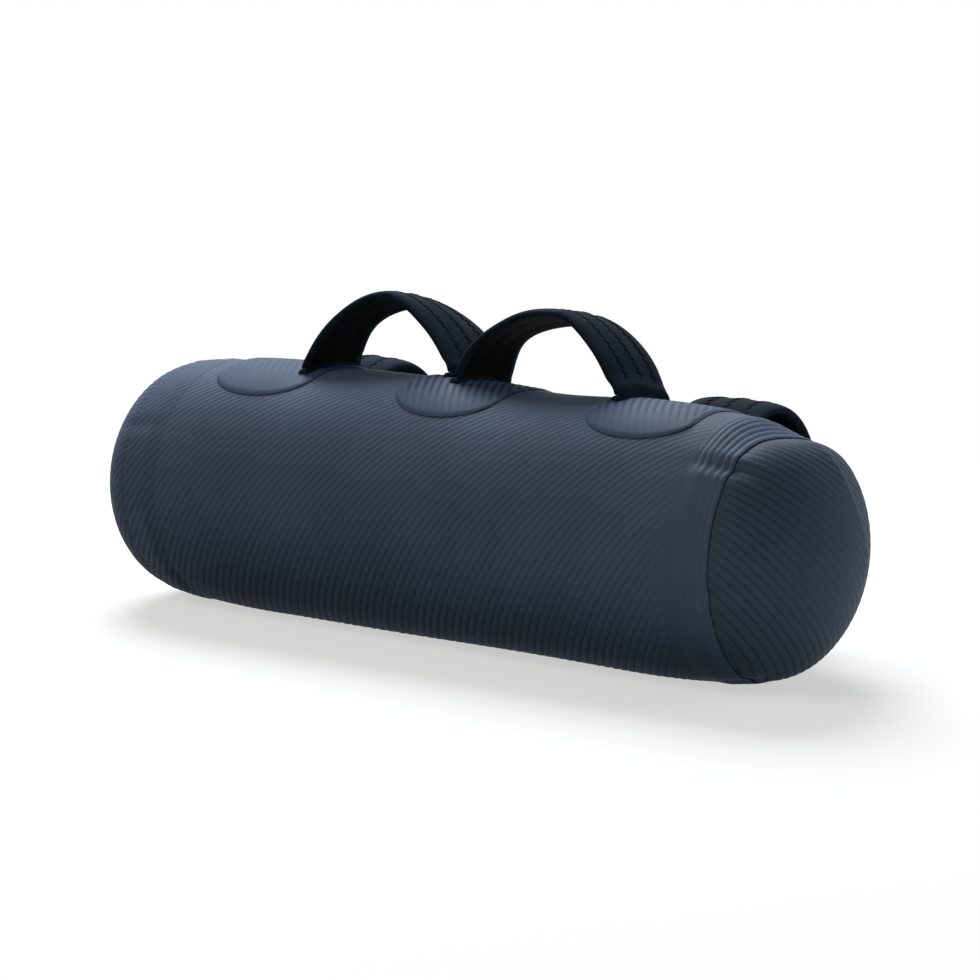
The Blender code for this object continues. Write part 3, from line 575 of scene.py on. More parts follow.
def coated_fabric(name, colour, groove_shade_share=0.40, groove_start=0.55):
    """Ribbed, coated fabric: painted shade in the grooves, a cross weave on the ribs, soft mottling.

    Where its ribs fade, as where it is drawn tight, it is painted a little darker, as shade.
    """
    surface = Surface(name)
    across, along = surface.ribs()
    beat = abs(across.fraction() - 0.5) * 2.0
    strength = surface.strength()
    groove = beat.between(groove_start, 1.0) * strength
    cross = (along * (FULL_TURN / WEAVE_PITCH) + across * 2.1).sine() * 0.5 + 0.5
    cross = cross * (strength * 0.7 + 0.3)
    cloud = surface.noise(7.0, 4.0, 0.6)
    grain = surface.noise(1400.0, 2.0, 0.6)
    tone = surface.mix(cloud.between(0.30, 0.72), scaled(colour, 0.86), scaled(colour, 1.12))
    beads = surface.mix(cross * 0.30 * (1 - groove), tone, scaled(colour, 0.50))
    # Painted shade where the ribs fade.
    drawn = surface.mix((1 - strength) * 0.42, beads, scaled(colour, 0.50))
    # Painted shade in the grooves.
    shaded = surface.mix(groove * groove_shade_share, drawn, scaled(colour, 0.22))
    wear = surface.mix(grain.between(0.55, 0.80) * 0.10, shaded, scaled(colour, 2.0))
    surface.set(Base_Color=wear, Roughness=0.50 + grain * 0.10 + groove * 0.12)
    surface.set(Specular_IOR_Level=0.03)
    surface.relief(cross * 0.30 * (1 - groove) + grain * 0.25, 0.00022)
    return surface.material


def knitted_cover(name, colour):
    """The sleeves' cover: a fine matt knit with a little lint, and painted shade on its underside.
    """
    surface = Surface(name)
    across, along = surface.ribs()
    rows, courses = [
        (place * (FULL_TURN / pitch)).sine()
        for place, pitch in ((across, KNIT_PITCH[0]), (along, KNIT_PITCH[1]))
    ]
    knit = rows * courses * 0.5 + 0.5
    cloud = surface.noise(16.0, 4.0, 0.6)
    lint = surface.noise(620.0, 3.0, 0.7)
    tone = surface.mix(cloud.between(0.30, 0.75), scaled(colour, 0.80), scaled(colour, 1.25))
    cover = surface.mix(knit * 0.22, tone, scaled(colour, 0.45))
    dusty = surface.mix(lint.between(0.58, 0.80) * 0.25, cover, scaled(colour, 2.6))
    # The underside is painted near black, as shade.
    underside_shade = across.between(*UNDERSIDE_SHADE_START) * (1 - across.between(*UNDERSIDE_SHADE_END))
    underside_shaded = surface.mix(underside_shade, dusty, scaled(colour, 0.10))
    surface.set(Base_Color=underside_shaded, Roughness=0.74 + lint * 0.16)
    surface.set(Specular_IOR_Level=0.02)
    surface.relief(knit * 0.5 + lint * 0.5, 0.00018)
    return surface.material


def woven_strap(name, colour):
    """Flat woven webbing, with its chevron of yarns."""
    surface = Surface(name)
    across, along = surface.ribs()
    slant = abs((across / CHEVRON).fraction() - 0.5) * CHEVRON
    yarn = ((along + slant) * (FULL_TURN / YARN_PITCH)).sine() * 0.5 + 0.5
    fuzz = surface.noise(900.0, 2.0, 0.6)
    tone = surface.mix(yarn * 0.7, scaled(colour, 0.45), scaled(colour, 1.3))
    surface.set(Base_Color=surface.mix(fuzz * 0.3, tone, scaled(colour, 2.0)))
    surface.set(Roughness=0.70 + fuzz * 0.15, Specular_IOR_Level=0.25)
    surface.relief(yarn * 0.7 + fuzz * 0.3, 0.0003)
    return surface.material


def sewing_thread(name, colour):
    surface = Surface(name)
    twist = surface.noise(2400.0, 1.0)
    surface.set(Base_Color=surface.mix(twist, scaled(colour, 0.5), scaled(colour, 2.2)))
    surface.set(Roughness=0.65 + twist * 0.2, Specular_IOR_Level=0.02)
    surface.relief(twist, 0.0001)
    return surface.material


def moulded_plastic(name, colour):
    """Fine-grained moulded plastic, a little rubbed."""
    surface = Surface(name)
    grain = surface.noise(1600.0, 2.0)
    rub = surface.noise(60.0, 5.0, 0.65)
    tone = surface.mix(rub.between(0.45, 0.75) * 0.5, colour, scaled(colour, 1.7))
    surface.set(Base_Color=tone, Roughness=0.36 + rub * 0.16 + grain * 0.04)
    surface.relief(grain, 0.00006)
    return surface.material


def seal_rubber(name, colour):
    surface = Surface(name)
    bloom = surface.noise(90.0, 5.0, 0.65)
    grain = surface.noise(2200.0, 2.0)
    tone = surface.mix(bloom.between(0.40, 0.75), scaled(colour, 0.8), scaled(colour, 1.7))
    surface.set(Base_Color=tone, Roughness=0.58 + bloom * 0.2, Specular_IOR_Level=0.3)
    surface.relief(grain, 0.00008)
    return surface.material


def spring_steel(name, colour):
    surface = Surface(name)
    drawn = surface.noise(3000.0, 1.0)
    tone = surface.mix(drawn, scaled(colour, 0.85), colour)
    surface.set(Base_Color=tone, Roughness=0.26 + drawn * 0.14, Metallic=1.0)
    return surface.material


def clear_water(name, colour):
    surface = Surface(name)
    depth = surface.noise(9.0, 2.0)
    surface.set(Base_Color=surface.mix(depth, scaled(colour, 0.8), colour), Alpha=0.45)
    surface.set(Roughness=0.04 + depth * 0.03)
    return surface.material


# Heights between which a strap leaves the unevenness of the fabric under its feet, and how slowly
# it comes to its lean.
LOOSE_HEIGHTS, LEAN_POWER = (0.003, 0.030), 1.5


class Strap:
    """The middle line of a handle and the places round it, from its first foot to its second."""

    samples = 400

    def __init__(self, shape, feet, arch, across_bag):
        height, powers, toes, nod, lean = arch
        self.shape = shape
        self.sizes = sizes = bpy.context.scene.bag_handles
        self.feet = feet
        self.across_bag = across_bag
        (x0, angle0), (x1, angle1) = feet
        turns = np.linspace(0.0, math.pi, self.samples)
        cosines = np.cos(turns)
        power = np.where(cosines > 0, 2 / powers[0], 2 / powers[1])
        lift = np.maximum(np.sin(turns), 0.0) ** power
        leaning = smooth(height * lift, sizes.upright, sizes.settle)
        reach = np.sign(cosines) * ((1 - np.abs(cosines) ** power) * leaning - 1)
        self.x = (x0 + x1) / 2 + (x1 - x0) / 2 * reach + nod * lift**2
        self.angle = (angle0 + angle1) / 2 + (angle1 - angle0) / 2 * reach
        self.height = height * lift
        self.lean = lean * np.maximum(np.sin(turns), 0.0) ** LEAN_POWER
        self.toe = np.where(cosines > 0, -toes[0], toes[1]) * np.sin(2 * turns) ** 2
        self.back = around(np.array([(angle0 + angle1) / 2]))
        steps = np.diff(self.place(self.x, self.angle, self.height), axis=0)
        self.run = np.concatenate([[0.0], np.cumsum(np.linalg.norm(steps, axis=1))])
        self.length = self.run[-1]

    def patch_top(self, x):
        return self.shape.wall_radius(x) + self.shape.patch_height

    def place(self, x, angle, height):
        loose = self.shape.swell(x, angle) * (1 - smooth(height, *LOOSE_HEIGHTS))
        reach = (self.patch_top(x) + height + loose)[..., None]
        return np.array([0.0, 0.0, self.shape.axis]) + radial(angle) * reach + self.along_bag(x)

    def along_bag(self, x):
        return np.stack([x, 0 * x, 0 * x], -1)

    def middle(self, run):
        x = np.interp(run, self.run, self.x)
        angle = np.interp(run, self.run, self.angle)
        lean = self.back * np.interp(run, self.run, self.lean)[:, None]
        return self.place(x, angle, np.interp(run, self.run, self.height)) + lean, angle, x

    def point(self, run, across, out):
        """Points of the strap: along it, across its width and out of its middle surface."""
        run = run + 0 * across
        centre, angle, x = self.middle(run)
        reach = self.length / self.samples
        ahead = self.middle(np.minimum(run + reach, self.length))[0]
        behind = self.middle(np.maximum(run - reach, 0.0))[0]
        side = around(angle) if self.across_bag else -np.array([1.0, 0.0, 0.0]) + 0 * centre
        normal = np.cross(ahead - behind, side)
        normal /= np.linalg.norm(normal, axis=1)[:, None]
        fade = 1 - smooth(np.minimum(run, self.length - run), 0.0, self.sizes.conform)
        top = self.patch_top(x)
        if self.across_bag:
            drop = top - np.sqrt(top**2 - across**2)
        else:
            drop = top - self.patch_top(x - across)
        part = across / self.sizes.half_width
        rise = normal * (out - self.sizes.crown * part**2 * (1 - fade))[:, None]
        splay = self.along_bag(part * np.interp(run, self.run, self.toe))
        if self.across_bag:
            drop = drop - self.shape.swell(x, angle + across / top) + self.shape.swell(x, angle)
        flat = centre + side * across[:, None] + rise + splay
        return flat - radial(angle) * (drop * fade)[:, None]

    def foot_point(self, foot, along, across, height):
        x, angle = self.feet[foot]
        if self.across_bag:
            return self.place(x + along, angle + across / self.patch_top(x), height)
        return self.place(x - across, angle + along / self.patch_top(x), height)

    def from_foot(self, run):
        return np.minimum(run, self.length - run)


HANDLES = {
    "left_top_handle": ("left_foot", "right_foot"),
    "right_top_handle": ("left_foot", "right_foot"),
    "left_end_handle": ("upper_foot", "lower_foot"),
    "right_end_handle": ("upper_foot", "lower_foot"),
}
# Each top handle's feet, as places from the middles of their patches and degrees behind the top
# line, and its arch: height, fullness and toe of its two limbs, nod along the bag and lean back.
TOP_FEET = {
    "left_top_handle": ((0.0337, 5.0), (-0.0272, 21.0)),
    "right_top_handle": ((-0.0083, 12.0), (-0.0380, 13.0)),
}
ARCHES = {
    "left_top_handle": (0.0599, (1.775, 1.532), (0.0056, 0.0088), -0.0037, 0.0030),
    "right_top_handle": (0.0572, (2.518, 1.407), (0.0090, 0.0028), 0.0156, -0.0057),
}
END_ARCH = (0.0595, (1.85, 1.85), (0.0, 0.0), 0.0, 0.0)


def strap_of(name, shape):
    """The middle line of a handle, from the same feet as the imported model's."""
    sizes = bpy.context.scene.bag_handles
    left = name.startswith("left")
    if name not in TOP_FEET:
        middle = sizes.left_end_angle if left else sizes.right_end_angle
        x = -shape.end_patch_x if left else shape.end_patch_x
        span = sizes.end_half_span
        return Strap(shape, ((x, middle - span), (x, middle + span)), END_ARCH, False)
    middle = shape.sizes.middle_patch_x
    patches = (-shape.end_patch_x, middle) if left else (middle, shape.end_patch_x)
    feet = [
        (patch + place, math.radians(degrees))
        for patch, (place, degrees) in zip(patches, TOP_FEET[name])
    ]
    return Strap(shape, feet, ARCHES[name], True)


def bend_with(piece, strap):
    """Bakes a piece's place into its points; the strap's feet are found, but nothing uses them."""
    none = np.zeros(1)
    ends = [strap.foot_point(foot, none, none, none)[0] for foot in (0, 1)]
    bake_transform(piece)


# How much closer together the wall's points lie at its ends.
END_CROWDING = 0.36
# Height over the floor of the wall where a band lies under it, and the run over which it rises.
UNDER_BAND, UNDER_BAND_RUN = 0.0019, 0.003
# Steps in which a point's bearing is found from the number of its rib.
SOLVER_STEPS = 8
# How faint the ribs are that the right seam draws flat, and the run from it over which they are.
# There the fabric is painted darker, as shade.
FAINTEST, DRAWN_RUN = 0.15, (0.020, 0.070)


class MakeBarrel(bpy.types.Operator):
    """Wraps the ribbed fabric of the tube round the bag"""

    bl_idname = "training_bag.make_barrel"
    bl_label = "Make barrel"

    def execute(self, context):
        shape = BagShape()
        form = context.scene.bag_fabric
        ribs = form.wall_ribs

        def place(u, v):
            along = 2 * u - 1
            x = shape.half * along * (1 + END_CROWDING * (1 - along**2))
            phase = v * ribs
            angle = (phase + form.rib_twist * x) * FULL_TURN / ribs
            for _ in range(SOLVER_STEPS):
                error = shape.rib_phase(x, angle) - phase
                angle -= error / (ribs / FULL_TURN + form.rib_drift * np.cos(angle - form.rib_turn))
            depth = shape.half - np.abs(x)
            drawn = FAINTEST + (1 - FAINTEST) * smooth(depth, *DRAWN_RUN)
            strength = np.where(x > 0, drawn, 1.0)
            height = form.rib_height * strength * rib_profile(phase)
            band = shape.sizes.band_width
            floor = UNDER_BAND * smooth(-depth, -band - UNDER_BAND_RUN, -band)
            ribs_here = np.stack([phase, RIB_STRETCH * x, strength], -1)
            return shape.points(x, angle, height, floor), ribs_here

        piece = wrapped_grid("barrel_fabric", WALL_COLUMNS, ribs * ROWS_PER_RIB, place, MERGE_GAP)
        look = coated_fabric("barrel coated fabric", context.scene.bag_colours.fabric)
        finish_sheet(piece, shape.sizes.wall, look, "barrel_wall")
        return {"FINISHED"}


# Of the bands: height over the wall of the thinned edge, run of the bevel behind it, thickness,
# and depth and width of the groove along the seam.
BAND_EDGE, BAND_BEVEL, BAND_SHEET, SEAM_GROOVE = 0.00015, 0.014, 0.0011, 0.0007
# The right band's ribs: cosines of the bearings between which they come up, and away from there
# how faint they are and the runs over which they fade behind and at the two edges.
BAND_TOP, BAND_FADE, BAND_FADE_RUN = (0.66, 0.86), 0.35, (0.006, 0.020)
SEAM_EDGE_RUN, INNER_EDGE_RUN = 0.003, 0.006


class MakeBands(bpy.types.Operator):
    """Lays the ribbed tape over each seam"""

    bl_idname = "training_bag.make_bands"
    bl_label = "Make seam bands"

    def execute(self, context):
        shape = BagShape()
        form = context.scene.bag_fabric
        sizes = shape.sizes
        look = coated_fabric("band coated fabric", context.scene.bag_colours.fabric, 0.5)
        for side, name in ((-1, "left_end_band"), (1, "right_end_band")):

            def place(u, v):
                start = shape.half - sizes.band_width if side > 0 else -shape.half
                x = start + sizes.band_width * u
                angle = FULL_TURN * v
                depth = shape.half - np.abs(x)
                full = sizes.layer_gap + sizes.band_thickness
                bevel = smooth(sizes.band_width - depth, 0.0, BAND_BEVEL)
                height = BAND_EDGE + (full - BAND_EDGE) * bevel
                if side > 0:
                    phase = depth / sizes.band_width * form.band_ribs
                    along = angle * sizes.radius
                    top = smooth(np.cos(angle), *BAND_TOP)
                    fade = BAND_FADE * (1 - smooth(depth, *BAND_FADE_RUN))
                    strength = (fade + top * (1 - fade)) * smooth(depth, 0.0, SEAM_EDGE_RUN)
                    inner_edge = smooth(sizes.band_width - depth, 0.0, INNER_EDGE_RUN)
                    strength = strength * inner_edge
                    height = height + form.band_rib_height * strength * rib_profile(phase)
                else:
                    phase = shape.rib_phase(x, angle)
                    along = RIB_STRETCH * x
                    strength = np.ones_like(x)
                    height = height + form.rib_height * rib_profile(phase)
                height -= SEAM_GROOVE * bump(depth, 0.0, SEAM_GROOVE)
                return shape.points(x, angle, height), np.stack([phase, along, strength], -1)

            piece = wrapped_grid(name + "_fabric", BAND_COLUMNS, BAND_ROWS[side], place, MERGE_GAP)
            finish_sheet(piece, BAND_SHEET, look, name)
        return {"FINISHED"}


# Of the patches: height over the wall of the thinned edge, run of the bevel behind it, thickness,
# and run over which the ribs come up from the edge.
PATCH_EDGE, PATCH_BEVEL, PATCH_SHEET, PATCH_RIB_RUN = 0.0006, 0.0034, 0.0006, (0.0010, 0.0050)
# Their ribs' strength, which also sets the shade painted into their grooves: everywhere, where the
# patch is taut and near a foot that pulls at it.
PATCH_FAINT, PATCH_TAUT, PATCH_PULL, PULL_RUN = 0.20, 0.8, 0.6, 0.045
TAUT_START, TAUT_FULL = math.radians(-25), math.radians(-10)


class MakePatches(bpy.types.Operator):
    """Welds the three ribbed reinforcement patches over the wall"""

    bl_idname = "training_bag.make_patches"
    bl_label = "Make patches"

    def execute(self, context):
        shape = BagShape()
        form = context.scene.bag_fabric
        sizes = shape.sizes
        # A darker colour and broad grooves of painted shade, for the handles' shade over the
        # patches.
        look = coated_fabric("patch coated fabric", context.scene.bag_colours.patch, 0.9, 0.15)
        patches = {
            "left_patch": (-shape.end_patch_x, sizes.end_patch_back),
            "middle_patch": (sizes.middle_patch_x, sizes.middle_patch_back),
            "right_patch": (shape.end_patch_x, sizes.end_patch_back),
        }
        feet = [foot for name in HANDLES for foot in strap_of(name, shape).feet]
        for name, (centre, back) in patches.items():

            def place(u, v):
                across = 2 * u - 1
                x = centre + sizes.patch_half_width * across
                tip = sizes.patch_tip * (1 - np.sqrt(np.maximum(1 - across**2, 0.0)))
                start = sizes.patch_front + tip
                stop = back - tip
                angle = start + (stop - start) * v
                edge = np.minimum(angle - start, stop - angle) * sizes.radius
                edge = np.minimum(edge, sizes.patch_half_width * (1 - np.abs(across)))
                phase = (x - centre) / form.patch_rib_pitch + form.patch_rib_slant * angle
                pull = 0.0
                for foot_x, foot_angle in feet:
                    reach = np.hypot(x - foot_x, (angle - foot_angle) * sizes.radius)
                    pull = np.maximum(pull, bump(reach, 0.0, PULL_RUN))
                taut = smooth(angle, TAUT_START, TAUT_FULL)
                strength = PATCH_FAINT + PATCH_TAUT * taut + PATCH_PULL * pull
                strength = strength * PATCH_RIB_SHARES[name] * smooth(edge, *PATCH_RIB_RUN)
                bevel = smooth(edge, 0.0, PATCH_BEVEL)
                height = PATCH_EDGE + (shape.patch_height - PATCH_EDGE) * bevel
                height += form.patch_rib_height * strength * rib_profile(phase)
                ribs = np.stack([phase, angle * sizes.radius, np.minimum(strength, 1.0)], -1)
                return shape.points(x, angle, height), ribs

            rows = int((back - sizes.patch_front) * sizes.radius / PATCH_ROW)
            piece = wrapped_grid(name + "_fabric", PATCH_COLUMNS, rows, place)
            finish_sheet(piece, PATCH_SHEET, look, name)
        return {"FINISHED"}


# Height over the floor of an end cap's skirt, and the depth at which it turns in.
SKIRT_FLOOR, SKIRT_TURN = 0.0035, 0.0006
# The creases in an end beside its puckers: share of their depth, width and run from the seam.
CREASE_SHARE, CREASE_WIDTH, CREASE_RUN = 0.25, 0.0060, 0.012
# How closely an end follows its seam: powers of the radius for the drawn-in edge and the puckers.
SINK_POWER, SEAM_POWER = 4, 24
# An end's slope is taken over a step of its radius, and isn't steeper than this.
DOME_STEP, LEAST_STEP, STEEPEST = 0.001, 1e-6, 12.0
# Run from the rim over which an end's ribs come up, and metres along them for each along the end.
RIM_RUN, CAP_RIB_STRETCH = 0.002, 1.2
# Runs from the valve's seat over which the slope, the ribs and the creases come up.
SEAT_SLOPE, SEAT_RIBS, SEAT_CREASES = 0.004, (0.001, 0.008), 0.02
# The right end's ribs are fainter by a share, inside these radii and before these places behind its
# middle. There its face is painted darker, as shade.
SLACK_SHARE, SLACK_RADII, SLACK_BACK = 0.65, (0.035, 0.080), (0.010, 0.040)
# The heights along an end, across its ribs, between which they cease to shift with its rise, and
# the share of its depth by which they are shifted past there.
LEAN_FADE, HELD_RISE = (-0.050, 0.015), 0.5
# The right end's fold: height, widths before and behind, place, how far and from what level down
# it turns back, and the levels between which it comes up.
FOLD_HEIGHT, FOLD_WIDTHS, FOLD_PLACE = 0.0024, (0.026, 0.007), 0.019
FOLD_TURN, FOLD_LEVEL, FOLD_POWER, FOLD_FADE = 0.0175, 0.050, 1.3, (-0.040, 0.005)


def cap_crease(shape, side, angle, radius):
    """Folds that run from each pucker of the seam towards the middle of an end."""
    near_seam = bump(shape.seam_radius - radius, 0.0, CREASE_RUN)
    total = 0.0
    for middle, strength in PUCKERS[side]:
        across = wrapped(angle - math.radians(middle)) * radius
        pull = shape.form.pucker_depth * strength
        total = total - CREASE_SHARE * pull * bump(across, 0.0, CREASE_WIDTH) * near_seam
    return total


class MakeCaps(bpy.types.Operator):
    """Shapes the two domed ends, with their parallel ribs and their skirts"""

    bl_idname = "training_bag.make_caps"
    bl_label = "Make end caps"

    def execute(self, context):
        shape = BagShape()
        colours = context.scene.bag_colours
        valve = context.scene.bag_valve
        # The right end takes the darker colour of painted shade; the left end the wall's own.
        finishes = ((-1, "left_end_cap", colours.fabric), (1, "right_end_cap", colours.cap))
        for side, name, colour in finishes:
            look = coated_fabric(name + " coated fabric", colour, 0.5)
            seat = valve.seat_radius if side < 0 else 0.0
            place = functools.partial(self.place, shape, side, seat)
            piece = wrapped_grid(name + "_fabric", *CAP_GRID, place, 2 * MERGE_GAP)
            self.add_skirt(piece, shape, side)
            if seat:
                self.cut_hole(piece, shape, valve.hole_radius)
            finish_sheet(piece, shape.sizes.wall, look, name)
        return {"FINISHED"}

    def place(self, shape, side, seat, u, v):
        """Points of a dome, in rows that follow its ribs, with a flat seat for the valve."""
        form = shape.form
        rim = shape.seam_radius
        line = rim * np.sin(math.pi * (u - 0.5))
        chord = np.sqrt(np.maximum(rim**2 - line**2, 0.0)) * np.sin(math.pi * (v - 0.5))
        lean = form.cap_rib_bearing
        y = line * math.cos(lean) - chord * math.sin(lean) * side
        z = line * math.sin(lean) + chord * math.cos(lean) * side
        radius = np.minimum(np.hypot(line, chord), rim)
        angle = np.arctan2(y, z)
        rise, slope = self.dome(shape, np.maximum(radius, seat), radius)
        slope *= smooth(radius, seat, seat + SEAT_SLOPE) if seat else 1.0
        phase = self.rib_line(shape, side, line, rise) / form.cap_rib_pitch
        strength = 0.5 + 0.5 * smooth(rim - radius, 0.0, RIM_RUN)
        if side > 0:
            faint = (1 - smooth(radius, *SLACK_RADII)) * (1 - smooth(y, *SLACK_BACK))
            strength = strength * (1 - SLACK_SHARE * faint)
        away = 1.0
        if seat:
            first, full = SEAT_RIBS
            strength = strength * smooth(radius, seat + first, seat + full)
            away = smooth(radius, seat, seat + SEAT_CREASES)
        inside = 1 - (radius / rim) ** SEAM_POWER
        relief = form.cap_rib_height * strength * rib_profile(phase)
        relief += cap_crease(shape, side, angle, radius) * inside * away
        if side > 0:
            relief += self.fold(y, z) * inside
        seam = np.full_like(angle, side * shape.half)
        sunk = shape.sunk(seam, angle)
        follow = sunk * (radius / rim) ** SINK_POWER
        follow += (shape.swell(seam, angle) - sunk) * (1 - inside)
        steepness = np.hypot(slope, 1.0)
        reach = radius + follow + relief * slope / steepness
        x = side * (shape.half + shape.sizes.layer_gap + rise + relief / steepness)
        level = shape.axis + reach * np.cos(angle)
        points = np.stack([x, reach * np.sin(angle), level], -1)
        return points, np.stack([phase, chord * CAP_RIB_STRETCH, strength], -1)

    def dome(self, shape, held, radius):
        """How far an end stands out at a radius, and how steeply it falls there."""
        form = (shape.seam_radius, shape.sizes.dome_depth, shape.sizes.dome_power)
        rise = dome_rise(held, *form)
        inner = np.maximum(held * (1 - DOME_STEP) - LEAST_STEP, 0.0)
        fall = dome_rise(inner, *form) - rise
        return rise, np.clip(fall / (DOME_STEP * radius + LEAST_STEP), 0.0, STEEPEST)

    def rib_line(self, shape, side, line, rise):
        """Where the ribs run: they shift with the dome's rise, but not over its far half."""
        form = shape.form
        lean = form.right_rib_lean if side > 0 else form.left_rib_lean
        lower = 1 - smooth(line, *LEAN_FADE)
        return line + lean * (rise * lower + HELD_RISE * shape.sizes.dome_depth * (1 - lower))

    def fold(self, y, z):
        """The soft fold that parts the right end's slack face from its taut back."""
        turn = np.clip((FOLD_LEVEL - z) / FOLD_LEVEL, 0.0, 1.0)
        across = y - FOLD_PLACE - FOLD_TURN * turn**FOLD_POWER
        before, behind = FOLD_WIDTHS
        hill = np.exp(-np.abs(across) / np.where(across > 0, behind, before))
        return FOLD_HEIGHT * hill * smooth(z, *FOLD_FADE)

    def add_skirt(self, piece, shape, side):
        """Extrudes the rim twice, to tuck it in under the tube."""
        sizes = shape.sizes
        lap = sizes.wall + 2 * sizes.layer_gap
        use_only(piece)
        bpy.ops.object.mode_set(mode="EDIT")
        bpy.ops.mesh.select_mode(type="EDGE")
        bpy.ops.mesh.select_all(action="DESELECT")
        bpy.ops.mesh.select_non_manifold(
            extend=False,
            use_wire=False,
            use_multi_face=False,
            use_non_contiguous=False,
            use_verts=False,
        )
        for depth in (SKIRT_TURN, sizes.cap_skirt):
            bpy.ops.mesh.extrude_region_move()
            bpy.ops.object.mode_set(mode="OBJECT")
            for vertex in (spot for spot in piece.data.vertices if spot.select):
                angle = math.atan2(vertex.co.y, vertex.co.z - shape.axis)
                x = np.array([side * (shape.half - depth)])
                reach = shape.wall_radius(x) + shape.swell(x, np.array([angle])) - lap
                level = max(shape.axis + reach[0] * math.cos(angle), SKIRT_FLOOR)
                vertex.co = (x[0], reach[0] * math.sin(angle), level)
            bpy.ops.object.mode_set(mode="EDIT")
        bpy.ops.object.mode_set(mode="OBJECT")

    def cut_hole(self, piece, shape, hole):
        """Opens the fabric for the valve's barrel."""
        use_only(piece)
        centre = Vector((0.0, 0.0, shape.axis))
        for polygon in piece.data.polygons:
            spot = Vector((0.0, polygon.center.y, polygon.center.z))
            polygon.select = (spot - centre).length < hole
        bpy.ops.object.mode_set(mode="EDIT")
        bpy.ops.mesh.select_mode(type="FACE")
        bpy.ops.mesh.delete(type="FACE")
        bpy.ops.object.mode_set(mode="OBJECT")
        for vertex in piece.data.vertices:
            spot = Vector((0.0, vertex.co.y, vertex.co.z)) - centre
            if spot.length < hole:
                vertex.co += spot.normalized() * (hole - spot.length)


# Rows of stitches, counted from the middle one.
STITCH_ROWS = (-1, 0, 1)
# Radius of a sleeve's corners, and how far from its ends the stitches start.
CORNER_RADIUS, STITCH_MARGIN = 0.006, 0.011
# Depths of a row's dent and of the thread in it, as shares of the sleeve's half thickness, and the
# dent's width.
ROW_DENT, THREAD_SINK, DENT_WIDTH = 0.10, 0.04, 0.0034
# Share of a sleeve's length over which its corners are rounded, how much closer its points lie at
# its edges, how square those are, and how much its face puffs up between the rows.
CORNER_SHARE, EDGE_CROWDING, EDGE_POWER, PUFF = 0.08, 0.30, 13, 0.08
# A sleeve's end: share of the full thickness there, what the pad adds and the run over which it
# does, then the hem's ridge and the groove behind it, each with its height, place and width.
END_SHARE, PAD_SHARE, PAD_RUN = 0.90, 0.10, (0.004, 0.020)
HEM_RIDGE, HEM_GROOVE = (0.10, 0.0035, 0.0030), (0.12, 0.0090, 0.0022)


